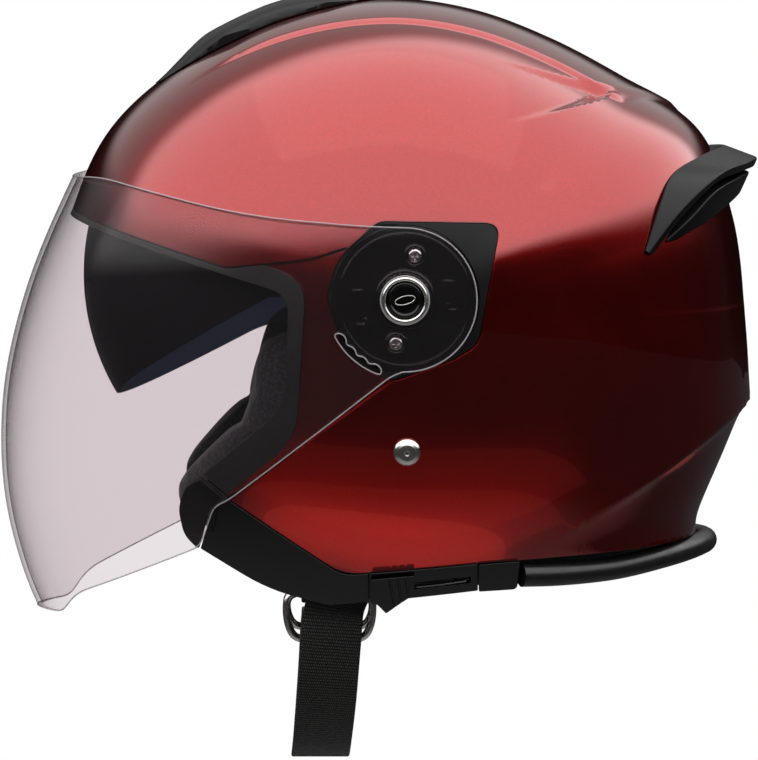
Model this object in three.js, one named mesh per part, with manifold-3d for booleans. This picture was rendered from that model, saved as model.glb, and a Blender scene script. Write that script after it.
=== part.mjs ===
// Open-face motorcycle helmet with a long clear visor and a drop-down sun visor.
// Millimetres and degrees. +Z up, the face opening looks along -Y, the wearer's left is +X.
// The origin is the centre of the head. Side outlines are lists of [y, z, corner radius].
import * as THREE from "three";
import { mergeVertices } from "three/addons/utils/BufferGeometryUtils.js";
import Module from "manifold-3d";

const wasm = await Module();
wasm.setup();

// ---- Driving dimensions ----
const HALF_WIDTH = 124; // shell, at the visor pivot
const SQUARENESS = 2.3; // exponent of the shell's cross-sections
const SHELL_WALL = 3.2;
const FOAM_INNER = 34; // depth of the foam's inner face below the shell's skin
const TRIM_DEPTH = 4;
const GAP = 0.35; // between pieces that touch
const FINE = [48, 20]; // facets round and across the skin
const SPAN = 200; // half length of a cutter that goes right through

// Radius of the centre-line profile every 15 degrees, from the back up over the crown.
const PROFILE = [
  147.3, 147, 147.3, 134, 128.1, 127, 127.8, 129.4, 132.9, 138.6, 144.5, 145.8,
  149, 152, 155, 158, 162.5, 168, 172, 172, 168, 161.5, 155, 152.5,
];
const VISOR_PROFILE = [
  150, 150, 150, 148, 146, 145, 145, 145, 146, 147.5, 148.5, 152,
  162, 177, 193.5, 208, 214, 212, 205, 195, 180, 165, 155, 150,
];
const VISOR_HALF_WIDTH = 126.5;
const VISOR_WALL = 2;
const VISOR_SQUARENESS = [2.3, 1.75]; // above the eyes, and at the chin

const PIVOT = { y: 1.6, z: 7.5 }; // visor
const VISOR_TRAVEL = 55; // degrees
const DISC_R = 29.5;
const RIVET = { x: 120, y: 2.5, z: -55.2 };
const SUN_PIVOT = { y: -36, z: 12 };
const SUN_R = 98.5;
const SUN_HALF_WIDTH = 104;
const SUN_WALL = 2;

const VISOR_RECESS = 3.5; // depth of the step that the visor closes into
const PLATE_RECESS = 6;

// ---- Side outlines, as seen from the wearer's left ----
const EYE_PORT = [
  [-170, 46.4], [-46.2, 9.3, 8], [-47.5, -37.2, 12], [-110, -90.8], [-170, -90.8],
];
const GASKET_OUTER = [
  [-170, 58.8], [-39, 15.6, 12], [-43.3, -51, 12], [-110, -105], [-170, -105],
];
const BELOW_SHELL = [
  [-200, -66], [-84.5, -66], [-72.3, -75.8], [-24, -107.8, 8], [33, -102.8],
  [70, -101], [134.4, -97.6], [200, -95], [200, -300], [-200, -300],
];
const VISOR_ZONE = [
  [-75, 19], [-37, 23.5, 4], [-22.9, 28], [0, 10], [-3.7, -24.9], [-32.4, -46.2],
  [-70, -75.8], [-80, -84], [-110, -70], [-110, -40],
];
const PLATE = [
  [-30, 8], [-26, 24, 8], [-9.4, 39.3, 4], [40.6, 38.3, 7], [31.5, -11, 5],
  [21.4, -17], [-3.7, -26, 4], [-22, -18, 8],
];
const CHIN_CAP = [
  [-83.2, -68.4], [-89.2, -72.1, 4], [-92.8, -81.1, 5], [-90.4, -93.4, 4],
  [-84.2, -99.4, 2], [-79, -81, 2], [-73.6, -76.2],
];
const CHEEK_TRIM = [
  [-78.2, -81.2, 2], [-72, -76.6], [-24, -108.6, 8], [-13.4, -108.8], [-13.4, -119.6],
  [-29.4, -121.5], [-54.5, -115.8, 20], [-83.5, -98.8],
];
const TRACK = [[-13, -108.6], [31.8, -103.6], [32, -114.8], [-13, -119.7]];
const JOINER = [[32.2, -103.4, 1], [49.4, -102.4, 1], [48.3, -114.6, 2], [32.4, -115.2]];
const LEVER = [
  [-12.6, -109.4, 1], [5.6, -107.6, 1], [5.6, -115.6, 1.5], [-1.1, -120.4],
  [-6.1, -124.2, 0.6], [-10, -120, 2], [-12.6, -119.8, 1],
];
const VISOR_EDGE = [
  [-200, 46.5], [-126, 55.5, 8], [-64, 41.5, 30], [-16, 37.6, 20], [PIVOT.y, 37],
  [5, 0], [18, -15.1], [-4.4, -24, 2], [-71, -76.4, 4], [-77.5, -79.8, 3],
  [-83.5, -97, 4], [-137, -121, 6], [-144, -130.8, 3], [-200, -131.5],
];
const SUN_EDGE = [
  [-23, 10], [-25, 24, 8], [-70, 72, 20], [-112, 79], [-160, 60], [-160, -60],
  [-123, -39.5], [-57, -4, 8], [-42, -1, 8], [-27, 2, 6],
];
const CHEEK_PAD = [
  [-58, -10, 8], [-64, -42, 10], [-84, -61.5, 10], [-96.5, -76, 8], [-91, -97, 6],
  [-56, -121, 16], [-34, -126, 10], [-4, -122.5, 6], [6, -96, 8], [2, -20, 10], [-30, -4, 8],
];

// ---- Helpers: three.js geometry in, solids for cutting and joining, geometry out ----
function solid(geometry) {
  const bare = geometry.clone();
  for (const name of Object.keys(bare.attributes)) {
    if (name !== "position") bare.deleteAttribute(name);
  }
  const merged = mergeVertices(bare, 1e-4);
  const mesh = (triVerts) =>
    new wasm.Mesh({ numProp: 3, vertProperties: merged.attributes.position.array, triVerts });
  const triangles = new Uint32Array(merged.index.array);
  const made = new wasm.Manifold(mesh(triangles));
  return made.volume() < 0 ? new wasm.Manifold(mesh(triangles.reverse())) : made;
}

function geometryOf(made) {
  const mesh = made.getMesh();
  const geometry = new THREE.BufferGeometry();
  geometry.setAttribute("position", new THREE.BufferAttribute(mesh.vertProperties, 3));
  geometry.setIndex(new THREE.BufferAttribute(mesh.triVerts, 1));
  geometry.computeVertexNormals();
  return geometry;
}

// The largest connected piece, which drops slivers that a cut leaves behind.
function mainPiece(made) {
  return made.decompose().reduce((a, b) => (a.volume() > b.volume() ? a : b)).simplify(0.1);
}

function signedArea(points) {
  return points.reduce((sum, [y, z], i) => {
    const [nextY, nextZ] = points[(i + 1) % points.length];
    return sum + (y * nextZ - nextY * z) / 2;
  }, 0);
}

// The outline with each side moved outwards by d.
function grow(points, d) {
  const out = Math.sign(signedArea(points)) * d;
  const lines = points.map(([y, z], i) => {
    const [nextY, nextZ] = points[(i + 1) % points.length];
    const along = new THREE.Vector2(nextY - y, nextZ - z).normalize();
    return { y: y + along.y * out, z: z - along.x * out, along };
  });
  return points.map(([, , radius], i) => {
    const a = lines[(i + points.length - 1) % points.length];
    const b = lines[i];
    const cross = a.along.x * b.along.y - a.along.y * b.along.x;
    if (Math.abs(cross) < 1e-3) return [b.y, b.z, radius];
    const t = ((b.y - a.y) * b.along.y - (b.z - a.z) * b.along.x) / cross;
    return [a.y + a.along.x * t, a.z + a.along.y * t, radius];
  });
}

function shapeOf(points) {
  const shape = new THREE.Shape();
  const at = (i) => new THREE.Vector2(...points[(i + points.length) % points.length]);
  points.forEach(([, , radius], i) => {
    const corner = at(i);
    const back = at(i - 1).sub(corner);
    const ahead = at(i + 1).sub(corner);
    const trim = Math.min(radius || 0, back.length() * 0.48, ahead.length() * 0.48);
    const start = corner.clone().add(back.setLength(trim));
    const end = corner.clone().add(ahead.setLength(trim));
    if (i === 0) shape.moveTo(start.x, start.y);
    else shape.lineTo(start.x, start.y);
    if (trim > 0) shape.quadraticCurveTo(corner.x, corner.y, end.x, end.y);
  });
  return shape;
}

// A side outline extruded along X.
const TO_SIDE = new THREE.Matrix4().makeBasis(
  new THREE.Vector3(0, 1, 0), new THREE.Vector3(0, 0, 1), new THREE.Vector3(1, 0, 0),
);
function sidePrism(points, from = -SPAN, to = SPAN, curveSegments = 4) {
  const geometry = new THREE.ExtrudeGeometry(shapeOf(points), {
    depth: to - from, bevelEnabled: false, curveSegments,
  });
  return solid(geometry.applyMatrix4(TO_SIDE).translate(from, 0, 0));
}

// A turned piece about X: the profile is a list of [radius, x].
function turned(profile, segments = 18, y = 0, z = 0) {
  const points = profile.map(([radius, x]) => new THREE.Vector2(radius, x));
  return new THREE.LatheGeometry(points, segments).rotateZ(-Math.PI / 2).translate(0, y, z);
}
const rod = (radius, from, to, y, z, segments = 16) =>
  solid(turned([[0, from], [radius, from], [radius, to], [0, to]], segments, y, z));

// An upright oval opening for the head, from its top downwards.
function passage(halfX, halfY, centreY, top, round) {
  const column = new THREE.CylinderGeometry(1, 1, 1, 32).rotateX(Math.PI / 2).translate(0, 0, -0.5);
  const cap = solid(new THREE.SphereGeometry(1, 32, 16).rotateX(Math.PI / 2).scale(halfX, halfY, round));
  return cap.add(solid(column.scale(halfX, halfY, SPAN))).translate([0, centreY, top - round]);
}

function radiusAt(table, angle) {
  const step = 360 / table.length;
  const place = (((angle % 360) + 360) % 360) / step;
  const i = Math.floor(place);
  const f = place - i;
  const [a, b, c, d] = [-1, 0, 1, 2].map((k) => table[(i + k + table.length) % table.length]);
  return b + 0.5 * f * (c - a + f * (2 * a - 5 * b + 4 * c - d + f * (3 * (b - c) + d - a)));
}

const ease = (low, high, value) => THREE.MathUtils.smoothstep(value, low, high);
const degrees = (y, z) => THREE.MathUtils.radToDeg(Math.atan2(z, y));

// ---- The shell's skin ----
// How far the styling lines stand proud of the plain skin at a point on it.
function styling(x, y, z) {
  const ends = ease(-95, -50, y) * (1 - ease(88, 99, y));
  const crown = 1.6 * (1 - ease(50, 57, Math.abs(x))) * ends * ease(60, 80, z);
  const hipLine = -99 + Math.max(0, y - 57.7) * 0.66; // the crease that climbs from the rim to the back
  const above = z - hipLine;
  const hip = ease(55, 125, y) * (above > 0 ? 3.2 * Math.exp(-above / 10) : -1.2 * Math.exp(above / 25));
  const tail = 7 * ease(60, 125, y) * Math.exp(-Math.max(0, z + 99) / 4);
  return z > 0 ? crown : hip + tail;
}

// A unit sphere with its poles on X, stretched onto a profile at a depth below its skin.
function body({ table, halfWidth, squareness, offset = 0, lines, around = 32, across = 14 }) {
  const geometry = new THREE.SphereGeometry(1, around, across).rotateZ(Math.PI / 2);
  const spots = geometry.attributes.position;
  for (let i = 0; i < spots.count; i++) {
    const unit = new THREE.Vector3().fromBufferAttribute(spots, i);
    const side = THREE.MathUtils.clamp(unit.x, -1, 1);
    const angle = degrees(unit.y, unit.z);
    const m = squareness(angle);
    const reach = Math.pow(Math.max(0, 1 - side * side), 1 / m);
    const wide = Math.sign(side) * Math.pow(Math.abs(side), 2 / m);
    const radius = radiusAt(table, angle);
    const flat = Math.hypot(unit.y, unit.z) || 1;
    const at = (extra) => new THREE.Vector3(
      (halfWidth + offset + extra) * wide,
      (radius + offset + extra) * reach * (unit.y / flat),
      (radius + offset + extra) * reach * (unit.z / flat),
    );
    const plain = at(0);
    const point = lines ? at(styling(plain.x, plain.y, plain.z)) : plain;
    spots.setXYZ(i, point.x, point.y, point.z);
  }
  return solid(geometry);
}

const skin = (offset, lines = false, around, across) =>
  body({
    table: PROFILE, halfWidth: HALF_WIDTH, squareness: () => SQUARENESS, offset, lines, around, across,
  });
const [VISOR_HIGH, VISOR_LOW] = VISOR_SQUARENESS;
const visorSkin = (offset) =>
  body({
    table: VISOR_PROFILE,
    halfWidth: VISOR_HALF_WIDTH,
    squareness: (angle) => {
      const turn = (angle + 360) % 360;
      return VISOR_HIGH + (VISOR_LOW - VISOR_HIGH) * ease(165, 220, turn) * (1 - ease(290, 340, turn));
    },
    offset,
    around: 40,
    across: 18,
  });

// Takes away whatever of the solid lies inside the side outline and outside the skin at a depth.
const sink = (made, outline, depth) => made.subtract(sidePrism(outline).subtract(skin(-depth)));
// The layer of the helmet between two depths, inside a side outline.
function layer(outline, outer, inner, around, across) {
  const wall = skin(-outer, false, around, across).subtract(skin(-inner, false, around, across));
  return wall.intersect(sidePrism(outline));
}
// The space behind the closed visor.
const underVisor = () => visorSkin(-VISOR_WALL - 0.6);
const leftHalf = (made) => made.trimByPlane([1, 0, 0], 1);

const root = new THREE.Group();
const finishes = {
  paint: { color: 0x6e0a10, roughness: 0.12, metalness: 0.45 },
  foam: { color: 0x18181a, roughness: 0.95, metalness: 0 },
  fabric: { color: 0x1c1c1f, roughness: 0.95, metalness: 0 },
  rubber: { color: 0x0b0b0c, roughness: 0.6, metalness: 0 },
  satin: { color: 0x1b1b1d, roughness: 0.45, metalness: 0 },
  gloss: { color: 0x070708, roughness: 0.12, metalness: 0 },
  clear: { color: 0xe9e4ea, roughness: 0.03, metalness: 0, transparent: true, opacity: 0.3 },
  smoke: { color: 0x05080f, roughness: 0.05, metalness: 0, transparent: true, opacity: 0.85 },
  steel: { color: 0xb9b6b0, roughness: 0.2, metalness: 1 },
  webbing: { color: 0x141414, roughness: 0.8, metalness: 0 },
};
const materials = Object.fromEntries(
  Object.entries(finishes).map(([name, look]) => [name, new THREE.MeshStandardMaterial(look)]),
);
function add(name, made, finish, parent = root) {
  const geometry = made instanceof THREE.BufferGeometry ? made : geometryOf(made);
  const mesh = new THREE.Mesh(geometry, materials[finish]);
  mesh.name = name;
  parent.add(mesh);
  return mesh;
}
// The same piece on the wearer's left and, mirrored, on the right.
function addPair(name, made, finish) {
  add(`${name}_left`, made, finish);
  add(`${name}_right`, made, finish).scale.x = -1;
}

// ---- Shell ----
const screwSpots = [{ y: 5.7, z: 25.5 }, { y: -2.1, z: -10.5 }];
// The shell's wall before its holes, thickened by a margin on every side.
function shellWall(margin) {
  const zone = grow(VISOR_ZONE, 0.8 - margin);
  let outer = sink(skin(margin, true, ...FINE), zone, VISOR_RECESS - margin);
  outer = sink(outer, grow(PLATE, GAP - margin), PLATE_RECESS - margin);
  const wall = SHELL_WALL + margin;
  let hollow = sink(skin(-wall, true), grow(zone, wall + margin), VISOR_RECESS + wall);
  hollow = sink(hollow, grow(PLATE, GAP + wall), PLATE_RECESS + wall);
  return outer.subtract(hollow).subtract(sidePrism(grow(EYE_PORT, 3 - margin)));
}
function outerShell() {
  let shell = shellWall(0).subtract(sidePrism(BELOW_SHELL));
  const hole = atRivet([[0, -20], [2.9, -20], [2.9, 20], [0, 20]]);
  shell = shell.subtract(hole).subtract(hole.mirror([1, 0, 0]));
  for (const { y, z } of screwSpots) shell = shell.subtract(rod(2, -SPAN, SPAN, y, z, 12));
  return mainPiece(shell);
}

// ---- Impact liner ----
const SUN_TURN = { low: 62, high: 216 }; // the part of a turn about its pivot that the sun visor sweeps
const SUN_SQUARENESS = 2.4;
function sunRadius(x) {
  const side = Math.min(1, Math.abs(x) / SUN_HALF_WIDTH);
  return SUN_R * Math.pow(1 - Math.pow(side, SUN_SQUARENESS), 1 / SUN_SQUARENESS);
}
// Places from side to side, closer together at the ends.
const stations = (count, reach) =>
  Array.from({ length: count + 1 }, (_, i) => -reach * Math.cos((Math.PI * i) / count));
function sunPocket() {
  const clearance = 7;
  const inside = stations(16, SUN_HALF_WIDTH - 6).map((x) => [Math.max(0.5, sunRadius(x) - clearance), x]);
  const outside = [[0, -SPAN], [SPAN, -SPAN], [SPAN, SPAN], [0, SPAN], [0, SUN_HALF_WIDTH - 6]];
  const profile = [...outside, ...inside.reverse(), [0, 6 - SUN_HALF_WIDTH], [0, -SPAN]];
  const ring = solid(turned(profile, 36, SUN_PIVOT.y, SUN_PIVOT.z));
  const ray = (angle) => [
    SUN_PIVOT.y + SPAN * Math.cos(THREE.MathUtils.degToRad(angle)),
    SUN_PIVOT.z + SPAN * Math.sin(THREE.MathUtils.degToRad(angle)),
  ];
  const start = [SUN_PIVOT.y + 16, SUN_PIVOT.z - 16];
  const sweep = [start, ray(SUN_TURN.low), ray(110), ray(150), ray(190), ray(SUN_TURN.high)];
  return ring.intersect(sidePrism(sweep));
}
function impactLiner() {
  let foam = skin(-SHELL_WALL - 1.2, true);
  foam = sink(foam, grow(VISOR_ZONE, SHELL_WALL + 1), VISOR_RECESS + SHELL_WALL + 0.6);
  foam = sink(foam, grow(PLATE, GAP + SHELL_WALL + 1), PLATE_RECESS + SHELL_WALL + 0.6);
  foam = foam.subtract(skin(-FOAM_INNER, false, 28, 12));
  foam = foam.subtract(sidePrism(grow(GASKET_OUTER, 0.6))).subtract(sidePrism(grow(BELOW_SHELL, 2)));
  foam = foam.subtract(passage(89, 114, 2, 0, 40)).subtract(sunPocket());
  foam = foam.subtract(sidePrism(grow(CHEEK_PAD, 1.5)).intersect(skin(-18)));
  foam = foam.subtract(sidePrism(ANCHOR_POCKET).subtract(skin(-16, false, 24, 12)));
  return mainPiece(foam);
}
const ANCHOR_POCKET = [[-14, -40], [18, -40], [18, -82], [0, -140], [-48, -140]];

// ---- Comfort liner ----
const CROWN_PAD = [[-112, 12, 6], [-112, 110], [112, 110], [112, -14, 10], [-20, 2, 20]];
const NECK_PAD = [[9, -24, 8], [104, -16, 12], [130, -100], [112, -111, 6], [60, -115, 6], [9, -115, 4]];
const cheekPad = () =>
  mainPiece(leftHalf(layer(CHEEK_PAD, 19.6, 60, 28, 12)).subtract(passage(61, 118, -16, 20, 40)));
function neckPad() {
  const back = skin(-FOAM_INNER - 0.8, false, 28, 12).add(passage(88, 113, 2, -1, 40));
  const face = skin(-43, false, 28, 12).add(passage(79, 102, 0, -4, 40));
  return mainPiece(back.subtract(face).intersect(sidePrism(NECK_PAD)));
}

// ---- Gasket, trims and caps round the rim ----
// Everything outside the visor's inner face, with the visor raised by an angle.
function outsideVisor(angle) {
  const outside = sidePrism(VISOR_EDGE).subtract(underVisor());
  return outside.translate([0, -PIVOT.y, -PIVOT.z]).rotate([-angle, 0, 0]).translate([0, PIVOT.y, PIVOT.z]);
}
function gasket() {
  const opening = sidePrism(EYE_PORT).add(sidePrism(grow(BELOW_SHELL, 1.2)));
  const band = sidePrism(GASKET_OUTER).subtract(opening);
  const inner = sink(skin(-4.6, false, 40, 16), VISOR_ZONE, 8.6);
  let ring = skin(0.2, false, ...FINE).subtract(inner).intersect(band).intersect(underVisor());
  for (let angle = 9; angle <= VISOR_TRAVEL; angle += 9) ring = ring.subtract(outsideVisor(angle));
  return mainPiece(ring.subtract(shellWall(2 * GAP)));
}
const rimPiece = (outline, proud, depth = TRIM_DEPTH) =>
  mainPiece(leftHalf(layer(outline, -proud, depth, 40, 18)));

// The swell of the neck roll, a rubber tube round the back of the rim.
function neckRoll() {
  const half = [
    [94.6, 51.6, -108.6], [88.5, 66, -108.8], [74.5, 88, -108], [50, 111, -106], [24, 126, -104],
  ];
  const points = [...half, [0, 131.5, -103.6], ...half.map(([x, y, z]) => [-x, y, z]).reverse()];
  const path = new THREE.CatmullRomCurve3(points.map((p) => new THREE.Vector3(...p)));
  const section = new THREE.Shape().absarc(0, 0, 5, 0, Math.PI * 2);
  return new THREE.ExtrudeGeometry(section, { steps: 28, curveSegments: 4, extrudePath: path });
}

// ---- Slider that drops the sun visor ----
const SLOT = { from: -10.5, to: 29, half: 1.6 };
const TRACK_RISE = 5 / 45; // the rim climbs this much towards the back
function slotPrism(from, to, half) {
  const line = (y) => -113.6 + TRACK_RISE * (y + 3.5);
  const corners = [[from, -half], [to, -half], [to, half], [from, half]];
  return sidePrism(corners.map(([y, rise]) => [y, line(y) + rise]));
}
const sliderTrack = () =>
  mainPiece(rimPiece(TRACK, 0.9).subtract(slotPrism(SLOT.from, SLOT.to, SLOT.half)));
function slider() {
  const knob = leftHalf(layer(LEVER, -5, -2.2, 40, 18));
  const stem = leftHalf(skin(3).subtract(skin(-5.6)).intersect(slotPrism(-8.5, 1.5, SLOT.half - GAP)));
  return mainPiece(knob.add(stem));
}

// ---- Visor and its pivots ----
function visor() {
  const wall = visorSkin(0).subtract(visorSkin(-VISOR_WALL));
  const outline = sidePrism(VISOR_EDGE, -SPAN, SPAN, 3).add(rod(DISC_R, -SPAN, SPAN, PIVOT.y, PIVOT.z, 32));
  return mainPiece(wall.intersect(outline).subtract(rod(10, -SPAN, SPAN, PIVOT.y, PIVOT.z, 24)));
}
const PLATE_FLOOR = 120.4;
function pivotPlate() {
  let plate = leftHalf(layer(PLATE, 0, PLATE_RECESS - 0.7, 40, 18));
  plate = plate.subtract(rod(DISC_R + 1, PLATE_FLOOR, SPAN, PIVOT.y, PIVOT.z, 28));
  plate = plate.subtract(sidePrism(grow(VISOR_EDGE, 1), PLATE_FLOOR, SPAN, 2));
  plate = plate.subtract(rod(8.2, 0, SPAN, PIVOT.y, PIVOT.z, 24));
  for (const { y, z } of screwSpots) {
    const section = [
      [1.9, PLATE_FLOOR - 0.6], [4.6, PLATE_FLOOR - 0.6], [4.6, 121.6], [3.4, 121.6], [3.4, 120.9],
      [1.9, 120.9], [1.9, PLATE_FLOOR - 0.6],
    ];
    plate = plate.subtract(rod(1.9, 0, SPAN, y, z, 12)).add(solid(turned(section, 12, y, z)));
  }
  return mainPiece(plate);
}
const hub = () => solid(turned([
  [7.9, PLATE_FLOOR + 0.3], [9.6, PLATE_FLOOR + 0.3], [9.6, 126.9], [9.2, 127.3], [8.3, 127.3], [7.9, 126.9],
  [7.9, PLATE_FLOOR + 0.3],
], 24, PIVOT.y, PIVOT.z));
const button = () => solid(turned([
  [6, 120.9], [7.5, 120.9], [7.5, 126.2], [7.1, 126.6], [0, 126.6], [0, 125.4], [6, 125.4], [6, 120.9],
], 20, PIVOT.y, PIVOT.z));
function spring() {
  const turns = 3;
  const [start, end, radius] = [119.1, 124.4, 4.8];
  const points = Array.from({ length: turns * 8 + 1 }, (_, i) => {
    const angle = (i / 8) * Math.PI * 2;
    const x = start + ((end - start) * i) / (turns * 8);
    return new THREE.Vector3(x, PIVOT.y + radius * Math.cos(angle), PIVOT.z + radius * Math.sin(angle));
  });
  const section = new THREE.Shape().absarc(0, 0, 0.45, 0, Math.PI * 2);
  return new THREE.ExtrudeGeometry(section, {
    steps: turns * 10, curveSegments: 2, extrudePath: new THREE.CatmullRomCurve3(points),
  });
}
const screw = ({ y, z }) => solid(turned([
  [0, 114.8], [1.5, 114.8], [1.5, 121.3], [2.9, 121.3], [2.9, 122.4], [2.3, 123], [0, 123],
], 12, y, z));

// ---- Sun visor ----
function sunVisor() {
  const reach = stations(14, SUN_HALF_WIDTH - 0.5);
  const outside = reach.map((x) => [sunRadius(x) + SUN_WALL / 2, x * (1 + 1 / SUN_HALF_WIDTH)]);
  const inside = reach.map((x) => [Math.max(0, sunRadius(x) - SUN_WALL / 2), x * (1 - 1 / SUN_HALF_WIDTH)]);
  const hull = (profile) =>
    solid(turned([[0, profile[0][1]], ...profile, [0, profile.at(-1)[1]]], 36, SUN_PIVOT.y, SUN_PIVOT.z));
  const lens = hull(outside).subtract(hull(inside)).intersect(sidePrism(SUN_EDGE));
  return mainPiece(lens.subtract(rod(3.2, -SPAN, SPAN, SUN_PIVOT.y, SUN_PIVOT.z)));
}
const sunPin = () => solid(turned([
  [0, 100.6], [4.6, 100.6], [4.6, 101.8], [3, 101.8], [3, 106], [0, 106],
], 16, SUN_PIVOT.y, SUN_PIVOT.z));
const sunBracket = () => sidePrism([
  [SUN_PIVOT.y - 11, SUN_PIVOT.z - 9, 4], [SUN_PIVOT.y + 12, SUN_PIVOT.z - 9, 4],
  [SUN_PIVOT.y + 12, SUN_PIVOT.z + 9, 4], [SUN_PIVOT.y - 11, SUN_PIVOT.z + 9, 4],
], 106.3, 108.7);

// ---- Vents ----
// A box stretched between curves that run from side to side: four rails make a long piece.
function between(rails, steps) {
  const curves = rails.map((half) => {
    const mirrored = half.slice(0, -1).map(([x, y, z]) => [-x, y, z]).reverse();
    return new THREE.CatmullRomCurve3([...half, ...mirrored].map((p) => new THREE.Vector3(...p)));
  });
  const geometry = new THREE.BoxGeometry(1, 1, 1, steps, 1, 1);
  const spots = geometry.attributes.position;
  for (let i = 0; i < spots.count; i++) {
    const rail = (spots.getY(i) > 0 ? 0 : 1) + (spots.getZ(i) > 0 ? 0 : 2);
    const point = curves[rail].getPoint(spots.getX(i) + 0.5);
    spots.setXYZ(i, point.x, point.y, point.z);
  }
  return solid(geometry);
}
function spoiler() {
  const wing = between([
    [[96.5, 103, 25], [91, 116, 42], [72, 134, 57], [40, 147, 60.5], [0, 153.2, 61.5]],
    [[96, 101, 26.5], [87, 107.5, 45.5], [74.5, 113, 57], [46, 127, 64.2], [0, 138.5, 67]],
    [[92.5, 104.5, 24.4], [86, 116.5, 39], [70, 131, 52.5], [40, 144, 56.5], [0, 151.5, 57.5]],
    [[90, 99, 26], [80, 106, 43], [68, 110, 53], [44, 122, 58], [0, 132, 60]],
  ], 24);
  return mainPiece(wing.subtract(skin(GAP, true, ...FINE)));
}
function exhaustVent() {
  const vent = between([
    [[90.5, 106, 26.5], [81, 120, 38], [66, 131.5, 49], [38, 143, 54], [0, 149.8, 55.4]],
    [[86, 103, 27.5], [78, 112, 40], [64, 122, 50.5], [38, 134, 55], [0, 143, 57]],
    [[89, 107, 25.6], [79, 118.5, 31.8], [63, 129, 37], [30, 140, 43], [0, 145.8, 46.5]],
    [[84, 100, 25], [74, 110, 30], [60, 120, 34], [30, 132, 40], [0, 138, 42]],
  ], 24);
  return mainPiece(vent.subtract(spoilerClearance()).subtract(skin(GAP, true, ...FINE)));
}
const spoilerClearance = () => between([
  [[97, 104, 24.4], [91.5, 117, 42], [72, 135, 57.4], [40, 148, 61], [0, 154, 62]],
  [[97, 101, 28], [88, 107, 47], [75, 112, 58], [46, 127, 66], [0, 138, 68]],
  [[92, 105.2, 23.8], [85.7, 117.2, 38.4], [69.8, 131.6, 51.9], [40, 144.5, 55.9], [0, 152, 56.9]],
  [[88, 97, 25.5], [78, 104, 42.4], [66, 108, 52.4], [43, 120, 57.4], [0, 130, 59.4]],
], 24);

// The crown vent follows the skin: its plan is drawn from above and raised off the shell.
const bothSides = (half) => [...half, ...half.slice(1, -1).map(([x, y, r]) => [-x, y, r]).reverse()];
const VENT_PLAN = bothSides([
  [0, -110], [22, -103, 10], [34, -72, 14], [27, -30, 20], [8, -4, 6], [0, -2],
]);
function planPrism(points) {
  const geometry = new THREE.ExtrudeGeometry(shapeOf(points), {
    depth: SPAN, bevelEnabled: false, curveSegments: 4,
  });
  return solid(geometry.translate(0, 0, 20));
}
const VENT_SLOT = bothSides([[0, -86], [11, -84, 2], [9.4, -60, 2], [0, -58]]);
const VENT_KNOB = bothSides([[0, -84.6], [9.4, -83, 2], [8.6, -72, 2], [0, -71]]);
function crownVent() {
  const base = skin(4).intersect(planPrism(VENT_PLAN));
  const top = skin(6.2).intersect(planPrism(grow(VENT_PLAN, -5)));
  const raised = base.add(top).subtract(skin(GAP, true, ...FINE));
  return mainPiece(raised.subtract(planPrism(VENT_SLOT)));
}
const ventSlider = () => mainPiece(
  skin(5.4).subtract(skin(2.4)).intersect(planPrism(VENT_KNOB)),
);

// ---- Chin strap ----
const WEB = { width: 25, thick: 1.8 };
// A ribbon of webbing along a curve, its width along Y.
function ribbon(points, steps) {
  const spine = points.map((p) => new THREE.Vector3(...p));
  const curve = new THREE.CatmullRomCurve3(spine, false, "centripetal");
  const geometry = new THREE.BoxGeometry(1, 1, 1, steps, 1, 1);
  const spots = geometry.attributes.position;
  for (let i = 0; i < spots.count; i++) {
    const along = spots.getX(i) + 0.5;
    const centre = curve.getPointAt(along);
    const tangent = curve.getTangentAt(along);
    const face = new THREE.Vector3(tangent.z, 0, -tangent.x).normalize();
    const across = new THREE.Vector3().crossVectors(face, tangent).normalize();
    const point = centre
      .addScaledVector(face, spots.getZ(i) * WEB.thick)
      .addScaledVector(across, spots.getY(i) * WEB.width);
    spots.setXYZ(i, point.x, point.y, point.z);
  }
  return solid(geometry);
}
// Inside the left of the helmet, from the anchor plate to the rim.
const STRAP_TOP = [
  [109.6, 1, -62], [105, -6, -80], [94.6, -16, -101], [85, -24, -115], [81.4, -27.5, -123.4],
];
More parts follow.
